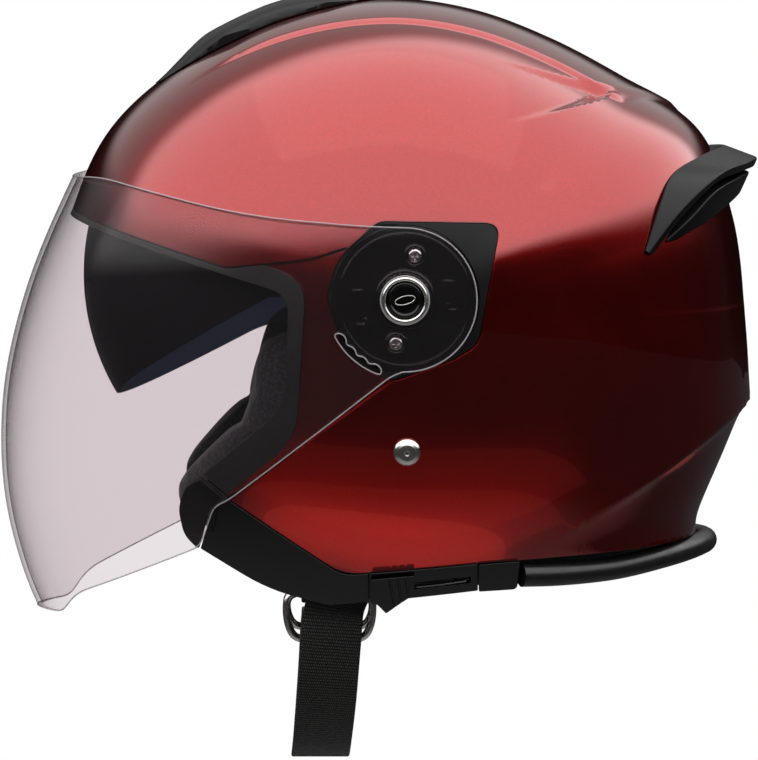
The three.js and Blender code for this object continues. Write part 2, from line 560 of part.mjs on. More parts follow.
// Below the rim, through both rings on the right, round the outer one and back through the inner one.
const STRAP_LOOP = [
  [77.6, -29, -139], [65, -31, -164], [38, -33.4, -187], [8, -34.3, -195.4], [-20, -34, -192.5],
  [-46, -33, -178], [-60, -32, -162], [-69, -31.4, -149], [-78, -31, -144.2], [-87, -31, -142.8],
  [-94.6, -31, -145.2], [-98.4, -31, -150.6], [-95.4, -31, -156], [-88.4, -31, -156],
  [-82.4, -31, -152.4], [-77.6, -31, -150.4], [-73.4, -31.2, -152.4], [-71.6, -31.6, -159],
  [-66.6, -32.4, -171], [-60, -33, -182],
];
const longStrap = () => ribbon([...STRAP_TOP, ...STRAP_LOOP], 60);
const RING = { y: -31, z: -135, wire: 1.75, half: 18.4, drop: 20 };
const RING_BARS = [{ x: -78, lean: 0 }, { x: -82.4, lean: 35 }]; // inner and outer ring
function shortStrap() {
  const web = ribbon([...STRAP_TOP, [81.6, -29.6, -131.6]].map(([x, y, z]) => [-x, y, z]), 14);
  const [inner, outer] = RING_BARS;
  const sleeve = (radius) => [
    [outer.x - radius, RING.z], [outer.x - radius, RING.z + radius, radius * 0.6],
    [inner.x + radius, RING.z + radius, radius * 0.6], [inner.x + radius, RING.z - radius, radius * 0.6],
    [outer.x - radius, RING.z - radius, radius * 0.6],
  ];
  const loop = (radius, reach) => {
    const geometry = new THREE.ExtrudeGeometry(shapeOf(sleeve(radius)), {
      depth: 2 * reach, bevelEnabled: false, curveSegments: 4,
    });
    return solid(geometry.rotateX(Math.PI / 2).translate(0, RING.y + reach, 0));
  };
  return web.add(loop(4.4, WEB.width / 2)).subtract(loop(2.4, WEB.width));
}
function dRing({ x, lean }) {
  const { half, drop } = RING;
  const side = [[half * 0.8, 0], [half, -2.6], [half * 0.99, -drop * 0.7], [half * 0.8, -drop * 0.98]];
  const points = [[0, 0], ...side, [0, -drop], ...side.map(([y, z]) => [-y, z]).reverse()];
  const spots = points.map(([y, z]) => new THREE.Vector3(0, y, z));
  const curve = new THREE.CatmullRomCurve3(spots, true, "centripetal");
  const ring = new THREE.TubeGeometry(curve, 28, RING.wire, 6, true);
  return ring.rotateY(THREE.MathUtils.degToRad(lean)).translate(x, RING.y, RING.z);
}

// ---- Strap anchors ----
const SKIN_TILT = 10; // degrees that the skin leans under at the rivet
const atRivet = (profile, segments = 18) =>
  solid(turned(profile, segments)).rotate([0, SKIN_TILT, 0]).translate([RIVET.x, RIVET.y, RIVET.z]);
const rivet = () => atRivet([
  [0, -8.4], [4.6, -8.4], [4.6, -7.2], [2.6, -7.2], [2.6, 0.5], [5.6, 0.5], [5.6, 1.1], [4.6, 2.2],
  [2.6, 3], [0, 3.2],
]);
function anchorPlate() {
  const outline = [[-10, 8, 6], [10, 8, 6], [12, -20, 3], [-12, -20, 3]];
  const plate = sidePrism(outline, -6.6, -5).rotate([0, SKIN_TILT, 0]).translate([RIVET.x, RIVET.y, RIVET.z]);
  return plate.subtract(atRivet([[0, -20], [2.95, -20], [2.95, 20], [0, 20]]));
}

// ---- Assembly ----
add("outer_shell", outerShell(), "paint");
add("impact_liner", impactLiner(), "foam");
add("crown_pad", mainPiece(layer(CROWN_PAD, FOAM_INNER + 0.8, 42, 28, 12)), "fabric");
add("neck_pad", neckPad(), "fabric");
addPair("cheek_pad", cheekPad(), "fabric");
add("eye_port_gasket", gasket(), "rubber");
addPair("chin_cap", mainPiece(rimPiece(CHIN_CAP, 1, 10).intersect(underVisor())), "gloss");
addPair("cheek_trim", rimPiece(CHEEK_TRIM, 0.6), "satin");
addPair("trim_joiner", rimPiece(JOINER, 1.4), "gloss");
add("slider_track_left", sliderTrack(), "gloss");
add("side_trim_right", rimPiece(TRACK, 0.9), "gloss").scale.x = -1;
add("sun_visor_slider", slider(), "gloss");
add("neck_roll", neckRoll(), "rubber");
add("visor", visor(), "clear");
addPair("pivot_plate", pivotPlate(), "satin");
addPair("visor_hub", hub(), "steel");
addPair("release_button", button(), "gloss");
addPair("button_spring", spring(), "steel");
addPair("upper_plate_screw", screw(screwSpots[0]), "steel");
addPair("lower_plate_screw", screw(screwSpots[1]), "steel");
add("sun_visor", sunVisor(), "smoke");
addPair("sun_visor_pin", sunPin(), "steel");
addPair("sun_visor_bracket", sunBracket(), "satin");
add("crown_vent", crownVent(), "satin");
add("crown_vent_slider", ventSlider(), "gloss");
add("rear_spoiler", spoiler(), "satin");
add("rear_exhaust_vent", exhaustVent(), "satin");

addPair("strap_rivet", rivet(), "steel");
addPair("strap_anchor_plate", anchorPlate(), "steel");
add("long_strap", longStrap(), "webbing");
add("short_strap", shortStrap(), "webbing");
add("inner_d_ring", dRing(RING_BARS[0]), "steel");
add("outer_d_ring", dRing(RING_BARS[1]), "steel");

export default root;
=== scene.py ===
"""Open-face motorcycle helmet: the looks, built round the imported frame.

Shapes are worked out in millimetres (+Z up, the face opening looks along -Y, the wearer's left is +X)
and made in metres. Side outlines are lists of (y, z, corner radius).
"""

import math

import bmesh
import bpy
import numpy as np
from mathutils import Matrix, Vector


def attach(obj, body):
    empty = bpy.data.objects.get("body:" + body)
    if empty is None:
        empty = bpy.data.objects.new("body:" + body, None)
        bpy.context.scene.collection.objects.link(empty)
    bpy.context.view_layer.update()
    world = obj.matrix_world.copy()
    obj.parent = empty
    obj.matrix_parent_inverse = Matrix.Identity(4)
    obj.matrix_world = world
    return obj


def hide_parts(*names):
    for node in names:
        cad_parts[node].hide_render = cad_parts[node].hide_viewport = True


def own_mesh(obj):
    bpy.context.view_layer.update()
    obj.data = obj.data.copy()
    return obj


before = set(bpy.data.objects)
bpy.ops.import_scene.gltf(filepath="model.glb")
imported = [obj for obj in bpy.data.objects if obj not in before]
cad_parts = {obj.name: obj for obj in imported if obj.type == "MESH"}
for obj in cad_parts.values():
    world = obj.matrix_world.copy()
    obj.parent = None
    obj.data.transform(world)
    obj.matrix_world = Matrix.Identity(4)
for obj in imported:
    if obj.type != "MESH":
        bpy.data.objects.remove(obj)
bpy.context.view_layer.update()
MM = 0.001
SPAN = 220

# ---- Shell shape, as in the CAD part ----
HALF_WIDTH = 124
SQUARENESS = 2.3
SHELL_WALL = 3.2
PROFILE = (
    147.3, 147, 147.3, 134, 128.1, 127, 127.8, 129.4, 132.9, 138.6, 144.5, 145.8,
    149, 152, 155, 158, 162.5, 168, 172, 172, 168, 161.5, 155, 152.5,
)
VISOR_PROFILE = (
    150, 150, 150, 148, 146, 145, 145, 145, 146, 147.5, 148.5, 152,
    162, 177, 193.5, 208, 214, 212, 205, 195, 180, 165, 155, 150,
)
VISOR_HALF_WIDTH = 126.5
VISOR_WALL = 2
VISOR_HIGH, VISOR_LOW = 2.3, 1.75
PIVOT = (1.6, 7.5)
DISC_R = 29.5
RIVET = (120, 2.5, -55.2)
SKIN_TILT = 10
SUN_PIVOT = (-36, 12)
SUN_R = 98.5
SUN_HALF_WIDTH = 104
SUN_SQUARENESS = 2.4
SUN_WALL = 2
VISOR_RECESS = 3.5
PLATE_RECESS = 6
FOAM_INNER = 34

EYE_PORT = [(-170, 46.4), (-46.2, 9.3, 8), (-47.5, -37.2, 12), (-110, -90.8), (-170, -90.8)]
GASKET_OUTER = [(-170, 58.8), (-39, 15.6, 12), (-43.3, -51, 12), (-110, -105), (-170, -105)]
BELOW_SHELL = [
    (-200, -66), (-84.5, -66), (-72.3, -75.8), (-24, -107.8, 8), (33, -102.8),
    (70, -101), (134.4, -97.6), (200, -95), (200, -300), (-200, -300),
]
VISOR_ZONE = [
    (-75, 19), (-37, 23.5, 4), (-22.9, 28), (0, 10), (-3.7, -24.9), (-32.4, -46.2),
    (-70, -75.8), (-80, -84), (-110, -70), (-110, -40),
]
PLATE = [
    (-30, 8), (-26, 24, 8), (-9.4, 39.3, 4), (40.6, 38.3, 7), (31.5, -11, 5),
    (21.4, -17), (-3.7, -26, 4), (-22, -18, 8),
]
CHIN_CAP = [
    (-83.2, -68.4), (-89.2, -72.1, 4), (-92.8, -81.1, 5), (-90.4, -93.4, 4),
    (-84.2, -99.4, 2), (-79, -81, 2), (-73.6, -76.2),
]
CHEEK_TRIM = [
    (-78.2, -81.2, 2), (-72, -76.6), (-24, -108.3, 8), (-13.4, -107.3), (-13.4, -119.6),
    (-29.4, -121.5), (-54.5, -115.8, 20), (-83.5, -98.8),
]
TRACK = [(-13, -107.2), (31.8, -103.2), (32, -114.8), (-13, -119.7)]
JOINER = [(32.2, -103.4, 1), (49.4, -102.4, 1), (48.3, -114.6, 2), (32.4, -115.2)]
LEVER = [
    (-12.6, -109.4, 1), (5.6, -107.6, 1), (5.6, -115.6, 1.5), (-1.1, -120.4),
    (-6.1, -124.2, 0.6), (-10, -120, 2), (-12.6, -119.8, 1),
]
VISOR_EDGE = [
    (-200, 46.5), (-126, 55.5, 8), (-64, 41.5, 30), (-16, 37.6, 20), (PIVOT[0], 37),
    (5, 0), (18, -15.1), (-4.4, -24, 2), (-71, -76.4, 4), (-77.5, -79.8, 3),
    (-83.5, -97, 4), (-137, -121, 6), (-144, -130.8, 3), (-200, -131.5),
]
SUN_EDGE = [
    (-23, 10), (-25, 24, 8), (-70, 72, 20), (-112, 79), (-160, 60), (-160, -60),
    (-123, -39.5), (-57, -4, 8), (-42, -1, 8), (-27, 2, 6),
]
CHEEK_PAD = [
    (-58, -10, 8), (-64, -42, 10), (-84, -61.5, 10), (-96.5, -76, 8), (-91, -97, 6),
    (-56, -121, 16), (-34, -126, 10), (-4, -122.5, 6), (6, -96, 8), (2, -20, 10), (-30, -4, 8),
]
CROWN_PAD = [(-112, 12, 6), (-112, 110), (112, 110), (112, -14, 10), (-20, 2, 20)]
NECK_PAD = [(9, -24, 8), (104, -16, 12), (130, -100), (112, -111, 6), (60, -115, 6), (9, -115, 4)]


# ---- Curves and surfaces ----
def smoothstep(low, high, value):
    t = np.clip((value - low) / (high - low), 0, 1)
    return t * t * (3 - 2 * t)


def radius_at(table, angle):
    """Radius of a periodic profile, by Catmull-Rom, at an angle in degrees."""
    table = np.asarray(table, float)
    count = len(table)
    place = np.mod(angle, 360) / (360 / count)
    i = np.floor(place).astype(int)
    f = place - i
    a, b, c, d = (table[(i + k) % count] for k in (-1, 0, 1, 2))
    return b + 0.5 * f * (c - a + f * (2 * a - 5 * b + 4 * c - d + f * (3 * (b - c) + d - a)))


RIDGE_HEIGHT = 1.6
WEDGE_DEPTH = 2.4
WEDGE_TIP = (93.6, 90.5)
HIP_HEIGHT, HIP_SCOOP = 3.2, 4.4
HIP_START = (57.7, -99)
HIP_SLOPE = 0.66
TAIL_FLARE = 7


def styling(x, y, z):
    """How far the crown's ridges and notches, the hip crease and the tail's lip stand proud of the skin."""
    ax = np.abs(x)
    crown = RIDGE_HEIGHT * (1 - smoothstep(51, 55, ax)) * smoothstep(-95, -50, y) * smoothstep(60, 80, z)
    crown = crown * (1 - smoothstep(90, 97, y + (ax - 47) * 0.5))
    back, rise = y - WEDGE_TIP[0], z - WEDGE_TIP[1]
    wedge = smoothstep(0, 2.2, 0.969 * rise - 0.245 * back) * smoothstep(0, 2.2, -0.964 * rise - 0.266 * back)
    crown = crown - WEDGE_DEPTH * wedge * smoothstep(38, 86, y) * smoothstep(60, 72, z)
    above = z - HIP_START[1] - np.maximum(0, y - HIP_START[0]) * HIP_SLOPE
    lift = HIP_HEIGHT * np.exp(-np.maximum(above, 0) / 10)
    scoop = HIP_HEIGHT - HIP_SCOOP * (1 - np.exp(np.minimum(above, 0) / 5))
    upper = smoothstep(-1.3, 1.3, above)
    hip = smoothstep(58, 118, y) * (upper * lift + (1 - upper) * scoop)
    tail = TAIL_FLARE * smoothstep(60, 125, y) * np.exp(-np.maximum(0, z - HIP_START[1]) / 4)
    return np.where(z > 0, crown, hip + tail)


class Skin:
    """A sphere with its poles on X, stretched onto a profile at an offset, with raised lines if asked."""

    def __init__(self, offset=0.0, lines=False, visor=False):
        self.offset = offset
        self.lines = styling if lines is True else lines
        self.table = VISOR_PROFILE if visor else PROFILE
        self.half = VISOR_HALF_WIDTH if visor else HALF_WIDTH
        self.visor = visor

    def exponent(self, angle):
        if not self.visor:
            return np.full_like(angle, SQUARENESS)
        turn = np.mod(angle, 360)
        low = smoothstep(165, 220, turn) * (1 - smoothstep(290, 340, turn))
        return VISOR_HIGH + (VISOR_LOW - VISOR_HIGH) * low

    def point(self, angle, side, extra=0.0):
        """Point at an angle round X and a place from side to side, -1 to 1 (arrays)."""
        m = self.exponent(angle)
        reach = np.power(np.maximum(0, 1 - side * side), 1 / m)
        wide = np.sign(side) * np.power(np.abs(side), 2 / m)
        radius = radius_at(self.table, angle)
        rad = np.radians(angle)

        def at(more):
            flat = (radius + self.offset + more) * reach
            return np.stack(
                [(self.half + self.offset + more) * wide, flat * np.cos(rad), flat * np.sin(rad)], -1
            )

        plain = at(extra)
        if not self.lines:
            return plain
        return at(extra + self.lines(plain[..., 0], plain[..., 1], plain[..., 2]))

    def level(self, p):
        """Below 1 inside the surface, above 1 outside it."""
        x, y, z = p[..., 0], p[..., 1], p[..., 2]
        angle = np.degrees(np.arctan2(z, y))
        m = self.exponent(angle)
        more = self.offset + (self.lines(x, y, z) if self.lines else 0)
        across = np.abs(x) / (self.half + more)
        flat = np.hypot(y, z) / (radius_at(self.table, angle) + more)
        return np.power(np.power(across, m) + np.power(flat, m), 1 / m)

    def normal(self, p):
        h = 0.06
        steps = [self.level(p + np.eye(3)[k] * h) - self.level(p - np.eye(3)[k] * h) for k in range(3)]
        g = np.stack(steps, -1) / (2 * h)
        size = np.linalg.norm(g, axis=-1, keepdims=True)
        return g / np.maximum(size, 1e-9), (self.level(p) - 1) / np.maximum(size[..., 0], 1e-9)


# ---- Paths ----
def unit(rows):
    return rows / np.linalg.norm(rows, axis=1, keepdims=True)


def headings(path, closed):
    """The direction of travel at each point of a path."""
    ahead = np.roll(path, -1, 0) - np.roll(path, 1, 0)
    if not closed:
        ahead[0], ahead[-1] = path[1] - path[0], path[-1] - path[-2]
    return unit(ahead)


def travelled(points):
    """The distance along a run of points, from its start to each of them."""
    return np.concatenate([[0], np.cumsum(np.linalg.norm(np.diff(points, axis=0), axis=1))])


def looped(points):
    """The points with the first one again at the end."""
    return np.vstack([points, points[:1]])


def evenly(points, count, with_end):
    """Evenly spaced points along a run of points, and the length of the run."""
    run = travelled(points)
    even = np.linspace(0, run[-1], count, endpoint=with_end)
    return np.column_stack([np.interp(even, run, points[:, k]) for k in range(3)]), run[-1]


def corner_arc(back, corner, ahead, radius, steps, most):
    """A curve that rounds a corner, using up to a share, most, of each side beside it."""
    sides = (back - corner, ahead - corner)
    lengths = [np.linalg.norm(side) for side in sides]
    trim = min(radius, lengths[0] * most, lengths[1] * most)
    start, end = (corner + side / length * trim for side, length in zip(sides, lengths))
    turn = np.linspace(0, 1, steps + 1)
    return [(1 - t) ** 2 * start + 2 * t * (1 - t) * corner + t * t * end for t in turn]


# ---- Mesh making ----
def read(items, key):
    """A vector property of every element of a mesh, a row each."""
    values = np.zeros(len(items) * 3, np.float32)
    items.foreach_get(key, values)
    return values.reshape(-1, 3).astype(float)


def read_whole(items, key):
    values = np.zeros(len(items), int)
    items.foreach_get(key, values)
    return values


def points_of(obj):
    return read(obj.data.vertices, "co") / MM


def set_points(obj, spots):
    obj.data.vertices.foreach_set("co", (spots * MM).astype(np.float32).ravel())


def face_out(mesh):
    bm = bmesh.new()
    bm.from_mesh(mesh)
    bmesh.ops.recalc_face_normals(bm, faces=bm.faces)
    if bm.calc_volume(signed=True) < 0:
        bmesh.ops.reverse_faces(bm, faces=bm.faces)
    bm.to_mesh(mesh)
    bm.free()


def placed(name, data):
    """A new object, put in the scene."""
    obj = bpy.data.objects.new(name, data)
    bpy.context.scene.collection.objects.link(obj)
    return obj


def new_object(name, verts_mm, faces):
    mesh = bpy.data.meshes.new(name)
    mesh.from_pydata((np.asarray(verts_mm, float) * MM).tolist(), [], faces)
    face_out(mesh)
    return placed(name, mesh)


def closed_grid(rings, poles=None, loop=False):
    """Vertices and faces of rings (n, k, 3), one after another.

    The run ends in the poles, or is closed into a loop, or has a flat cap at each end.
    """
    n, k, _ = rings.shape
    last_ring = (n - 1) * k

    def quads(low, high):
        return [(low + j, low + (j + 1) % k, high + (j + 1) % k, high + j) for j in range(k)]

    verts = rings.reshape(-1, 3).tolist()
    faces = [quad for i in range(n - 1) for quad in quads(i * k, (i + 1) * k)]
    if poles is not None:
        verts += [list(map(float, poles[0])), list(map(float, poles[1]))]
        first, last = len(verts) - 2, len(verts) - 1
        faces += [(first, (j + 1) % k, j) for j in range(k)]
        faces += [(last, last_ring + j, last_ring + (j + 1) % k) for j in range(k)]
    elif loop:
        faces += quads(last_ring, 0)
    else:
        faces.append(tuple(range(k))[::-1])
        faces.append(tuple(last_ring + j for j in range(k)))
    return verts, faces


def body(skin, around=220, across=110, name="body"):
    tilt = np.linspace(-90, 90, across + 1)[1:-1]
    side = np.sin(np.radians(tilt))
    angle = np.linspace(0, 360, around, endpoint=False)
    a, s = np.meshgrid(angle, side)
    rings = skin.point(a, s)
    ends = skin.point(np.array([0.0, 0.0]), np.array([-1.0, 1.0]))
    return new_object(name, *closed_grid(rings, ends))


def rounded(points, arc=6):
    """An outline with its corners rounded, as an array of (y, z)."""
    pts = [np.array(p[:2], float) for p in points]
    out = []
    for i, p in enumerate(points):
        radius = p[2] if len(p) > 2 else 0
        if radius > 0:
            out += corner_arc(pts[i - 1], pts[i], pts[(i + 1) % len(pts)], radius, arc, 0.48)
        else:
            out.append(pts[i])
    return np.array(out)


def grow(points, d):
    """The outline with each side moved outwards by d."""
    pts = np.array([p[:2] for p in points], float)
    nxt = np.roll(pts, -1, 0)
    area = np.sum(pts[:, 0] * nxt[:, 1] - nxt[:, 0] * pts[:, 1])
    along = unit(nxt - pts)
    out = math.copysign(d, area)
    base = pts + np.stack([along[:, 1], -along[:, 0]], 1) * out
    result = []
    for i, p in enumerate(points):
        a, da, b, db = base[i - 1], along[i - 1], base[i], along[i]
        cross = da[0] * db[1] - da[1] * db[0]
        if abs(cross) < 1e-3:
            spot = b
        else:
            t = ((b[0] - a[0]) * db[1] - (b[1] - a[1]) * db[0]) / cross
            spot = a + da * t
        result.append((spot[0], spot[1], *p[2:]))
    return result


def box(left, right, low, high, *more):
    """The outline of a rectangle, with a corner radius or a height if one is given."""
    return [(a, b, *more) for a, b in ((left, low), (right, low), (right, high), (left, high))]


def prism(points, low=-SPAN, high=SPAN, arc=6, name="prism"):
    flat = rounded(points, arc)
    n = len(flat)
    area = sum(flat[i][0] * flat[(i + 1) % n][1] - flat[(i + 1) % n][0] * flat[i][1] for i in range(n))
    if area < 0:
        flat = flat[::-1]
    rings = np.stack([np.column_stack([np.full(n, x), flat]) for x in (low, high)])
    verts, faces = closed_grid(rings)
    return new_object(name, verts, faces)


def turned(profile, segments=64, centre=(0, 0), name="turned"):
    """A piece turned about X: its profile of (radius, x) is closed, or has both ends on the axis."""
    profile = [(float(r), float(x)) for r, x in profile]
    turn = np.linspace(0, 2 * math.pi, segments, endpoint=False)
    on_axis = profile[0][0] == 0
    inner = profile[1:-1] if on_axis else profile
    circle = np.column_stack([np.zeros(segments), np.cos(turn), np.sin(turn)])
    rings = np.stack([(x, *centre) + r * circle for r, x in inner])
    if on_axis:
        ends = [(profile[0][1], *centre), (profile[-1][1], *centre)]
        return new_object(name, *closed_grid(rings, ends))
    return new_object(name, *closed_grid(rings, loop=True))


def fillet(profile, radius, steps=4, closed=False):
    """A profile with its inner corners rounded."""
    pts = [np.array(p, float) for p in profile]
    out = []
    for i, p in enumerate(pts):
        if not closed and i in (0, len(pts) - 1):
            out.append(p)
            continue
        out += corner_arc(pts[i - 1], p, pts[(i + 1) % len(pts)], radius, steps, 0.45)
    return [tuple(p) for p in out]


def settle(obj):
    """Replaces the mesh with what its modifiers make of it."""
    graph = bpy.context.evaluated_depsgraph_get()
    mesh = bpy.data.meshes.new_from_object(obj.evaluated_get(graph))
    obj.modifiers.clear()
    old = obj.data
    obj.data = mesh
    bpy.data.meshes.remove(old)
    return obj


def combine(obj, other, operation="DIFFERENCE"):
    """Cuts the other piece out of the object, or joins or intersects them, and uses the other piece up."""
    change = obj.modifiers.new("cut", "BOOLEAN")
    change.operation = operation
    change.object = other
    change.solver = "MANIFOLD"
    settle(obj)
    remove(other)
    return obj


def cut(obj, *others):
    """Cuts the other pieces out of the object, one after another."""
    for other in others:
        combine(obj, other)
    return obj


def remove(obj):
    mesh = obj.data
    bpy.data.objects.remove(obj)
    bpy.data.meshes.remove(mesh)


ON_SURFACE = 0.12
LYING_FLAT = 0.86


def shade(obj, surfaces=(), sharp=32):
    """Smooth shading with sharp edges, and the exact normals wherever a face lies on a known surface."""
    mesh = obj.data
    mesh.polygons.foreach_set("use_smooth", [True] * len(mesh.polygons))
    mesh.set_sharp_from_angle(angle=math.radians(sharp))
    if not surfaces:
        return obj
    normals = read(mesh.corner_normals, "vector")
    spots = read(mesh.vertices, "co") / MM
    face_normal = read(mesh.polygons, "normal")
    loop_vert = read_whole(mesh.loops, "vertex_index")
    totals = read_whole(mesh.polygons, "loop_total")
    loop_face = np.repeat(np.arange(len(totals)), totals)
    for surface in surfaces:
        exact, away = surface.normal(spots)
        near = np.abs(away[loop_vert]) < ON_SURFACE
        all_near = np.ones(len(totals), bool)
        np.logical_and.at(all_near, loop_face, near)
        facing = np.sum(exact[loop_vert] * face_normal[loop_face], 1)
        good = all_near[loop_face] & (np.abs(facing) > LYING_FLAT)
        sign = np.sign(facing)[:, None]
        normals[good] = (exact[loop_vert] * sign)[good]
    mesh.normals_split_custom_set(normals.tolist())
    return obj


def layer(outline, outer, inner, lines=False, around=200, across=100, name="layer"):
    """The part of the helmet between two depths and inside a side outline."""
    made = body(Skin(-outer, lines), around, across, name)
    combine(made, body(Skin(-inner), around, across))
    combine(made, prism(outline), "INTERSECT")
    return made


def keep_left(obj):
    return combine(obj, prism(box(-300, 300, -300, 300), 1, 300), "INTERSECT")


def mirrored(obj, name):
    twin = placed(name, obj.data.copy())
    twin.data.transform(Matrix.Scale(-1, 4, Vector((1, 0, 0))))
    twin.data.flip_normals()
    return twin


def spline(points, count, closed=False):
    """Centripetal Catmull-Rom through the points, in even steps."""
    p = np.array(points, float)
    if closed:
        p = np.vstack([p[-1], p, p[:2]])
    else:
        p = np.vstack([2 * p[0] - p[1], p, 2 * p[-1] - p[-2]])
    dense = []
    for i in range(1, len(p) - 2):
        a, b, c, d = p[i - 1], p[i], p[i + 1], p[i + 2]
        t0 = 0
        t1 = t0 + math.sqrt(np.linalg.norm(b - a)) + 1e-9
        t2 = t1 + math.sqrt(np.linalg.norm(c - b)) + 1e-9
        t3 = t2 + math.sqrt(np.linalg.norm(d - c)) + 1e-9
        for t in np.linspace(t1, t2, 40, endpoint=False):
            a1 = (t1 - t) / (t1 - t0) * a + (t - t0) / (t1 - t0) * b
            a2 = (t2 - t) / (t2 - t1) * b + (t - t1) / (t2 - t1) * c
            a3 = (t3 - t) / (t3 - t2) * c + (t - t2) / (t3 - t2) * d
            b1 = (t2 - t) / (t2 - t0) * a1 + (t - t0) / (t2 - t0) * a2
            b2 = (t3 - t) / (t3 - t1) * a2 + (t - t1) / (t3 - t1) * a3
            dense.append((t2 - t) / (t2 - t1) * b1 + (t - t1) / (t2 - t1) * b2)
    dense.append(p[-2] if not closed else dense[0])
    return evenly(np.array(dense), count, not closed)


# ---- Materials ----
def material(name, color, roughness=0.5, metallic=0.0, **inputs):
    made = bpy.data.materials.new(name)
    made.use_nodes = True
    bsdf = bsdf_of(made)
    bsdf.inputs["Base Color"].default_value = (*color, 1)
    bsdf.inputs["Roughness"].default_value = roughness
    bsdf.inputs["Metallic"].default_value = metallic
    for key, value in inputs.items():
        bsdf.inputs[key.replace("_", " ")].default_value = value
    return made


def node(made, kind, **settings):
    made_node = made.node_tree.nodes.new(kind)
    for key, value in settings.items():
        if key in made_node.inputs:
            made_node.inputs[key].default_value = value
        else:
            setattr(made_node, key, value)
    return made_node


def link(made, a, output, b, entry):
    made.node_tree.links.new(a.outputs[output], b.inputs[entry])


def bsdf_of(made):
    return made.node_tree.nodes["Principled BSDF"]


def pattern(made, kind, scale, **settings):
    """A noise or cell pattern fixed to the piece."""
    made_pattern = node(made, kind, Scale=scale, **settings)
    link(made, node(made, "ShaderNodeTexCoord"), "Object", made_pattern, "Vector")
    return made_pattern


def noise(made, scale, detail=3.0):
    return pattern(made, "ShaderNodeTexNoise", scale, Detail=detail)


def cells(made, scale):
    return pattern(made, "ShaderNodeTexVoronoi", scale)


def ranged(made, source, output, ends, **settings):
    """Values stretched from one range to another: ends are the first range's two and the second's two."""
    spread = node(made, "ShaderNodeMapRange", **settings)
    for key, value in zip(("From Min", "From Max", "To Min", "To Max"), ends):
        spread.inputs[key].default_value = value
    link(made, source, output, spread, "Value")
    return spread, "Result"


def vary(made, source, output, low, high, entry):
    """Drives a socket between two values by a pattern."""
    link(made, *ranged(made, source, output, (0.3, 0.7, low, high)), bsdf_of(made), entry)


def tint(made, source, output, dark, light, low=0.35, high=0.65):
    ramp = node(made, "ShaderNodeValToRGB")
    for element, spot, colour in zip(ramp.color_ramp.elements, (low, high), (dark, light)):
        element.position = spot
        element.color = (*colour, 1)
    link(made, source, output, ramp, "Fac")
    link(made, ramp, "Color", bsdf_of(made), "Base Color")


def relief(made, source, output, distance_mm, strength=1.0, edge_mm=0.0):
    """Bump from a pattern, over softened edges."""
    bump = node(made, "ShaderNodeBump", Strength=strength, Distance=distance_mm * MM)
    link(made, source, output, bump, "Height")
    if edge_mm:
        soft = node(made, "ShaderNodeBevel", Radius=edge_mm * MM, samples=4)
        link(made, soft, "Normal", bump, "Normal")
    link(made, bump, "Normal", bsdf_of(made), "Normal")


def maths(made, operation, a, b=None):
    made_node = node(made, "ShaderNodeMath", operation=operation)
    for slot, value in enumerate((a, b)):
        if isinstance(value, (int, float)):
            made_node.inputs[slot].default_value = value
        elif value is not None:
            link(made, *value, made_node, slot)
    return made_node, "Value"


def mottled(made, blotch, smooth, rough, grain, depth_mm, strength, edge_mm=0.0, detail=2.0):
    """Gloss that varies in blotches between two roughnesses, under a fine grain."""
    vary(made, noise(made, blotch), "Fac", smooth, rough, "Roughness")
    relief(made, noise(made, grain, detail), "Fac", depth_mm, strength, edge_mm)
    return made


def knobbly(made, scale, raised, gap_shade, low, high, depth_mm):
    """Small round bumps, painted lighter at their centres and darker between them: the darker colour is
    painted shade in the gaps.
    """
    bumps = cells(made, scale)
    # Colour by distance from each bump's centre: painted shade between the bumps.
    tint(made, bumps, "Distance", raised, gap_shade, low, high)
    relief(made, bumps, "Distance", depth_mm, 0.7)
    return made


PAINT = material(
    "candy_red_paint", (0.25, 0.006, 0.008), 0.2, 0.94, Coat_Weight=1.0, Coat_Roughness=0.02, Coat_IOR=1.56
)
tint(PAINT, cells(PAINT, 2600), "Distance", (0.18, 0.0035, 0.0035), (0.28, 0.008, 0.008), 0.1, 0.8)
mottled(PAINT, 40, 0.18, 0.23, 260, 0.004, 0.3, 0.7)

SATIN = material("satin_black_plastic", (0.004, 0.004, 0.0045), 0.36, Specular_IOR_Level=0.22)
mottled(SATIN, 900, 0.32, 0.42, 2600, 0.03, 0.5, 0.5)

GLOSS = material("gloss_black_plastic", (0.002, 0.002, 0.0022), 0.16)
mottled(GLOSS, 60, 0.12, 0.2, 400, 0.008, 0.3, 0.6)

RUBBER = material("black_rubber", (0.006, 0.006, 0.0065), 0.6)
mottled(RUBBER, 500, 0.5, 0.7, 1800, 0.05, 0.5, 0.5, 3)

ROLL = material("smooth_rubber_tube", (0.006, 0.006, 0.0065), 0.34)
mottled(ROLL, 200, 0.28, 0.4, 1500, 0.02, 0.4, detail=3)

FOAM = material("black_foam", (0.012, 0.012, 0.013), 0.9)
# The darker colour is painted shade between the foam's bumps.
knobbly(FOAM, 300, (0.02, 0.02, 0.022), (0.008, 0.008, 0.009), 0.2, 0.7, 0.35)

FABRIC = material("brushed_knit", (0.03, 0.03, 0.034), 0.95, Sheen_Weight=0.3, Sheen_Roughness=0.5)
# The darker colour is painted shade between the knit's bumps.
knobbly(FABRIC, 620, (0.035, 0.035, 0.04), (0.01, 0.01, 0.012), 0.15, 0.75, 0.4)

STEEL = material("bright_nickel", (0.8, 0.78, 0.75), 0.24, 1.0)
mottled(STEEL, 300, 0.18, 0.3, 700, 0.01, 0.4, 0.3)

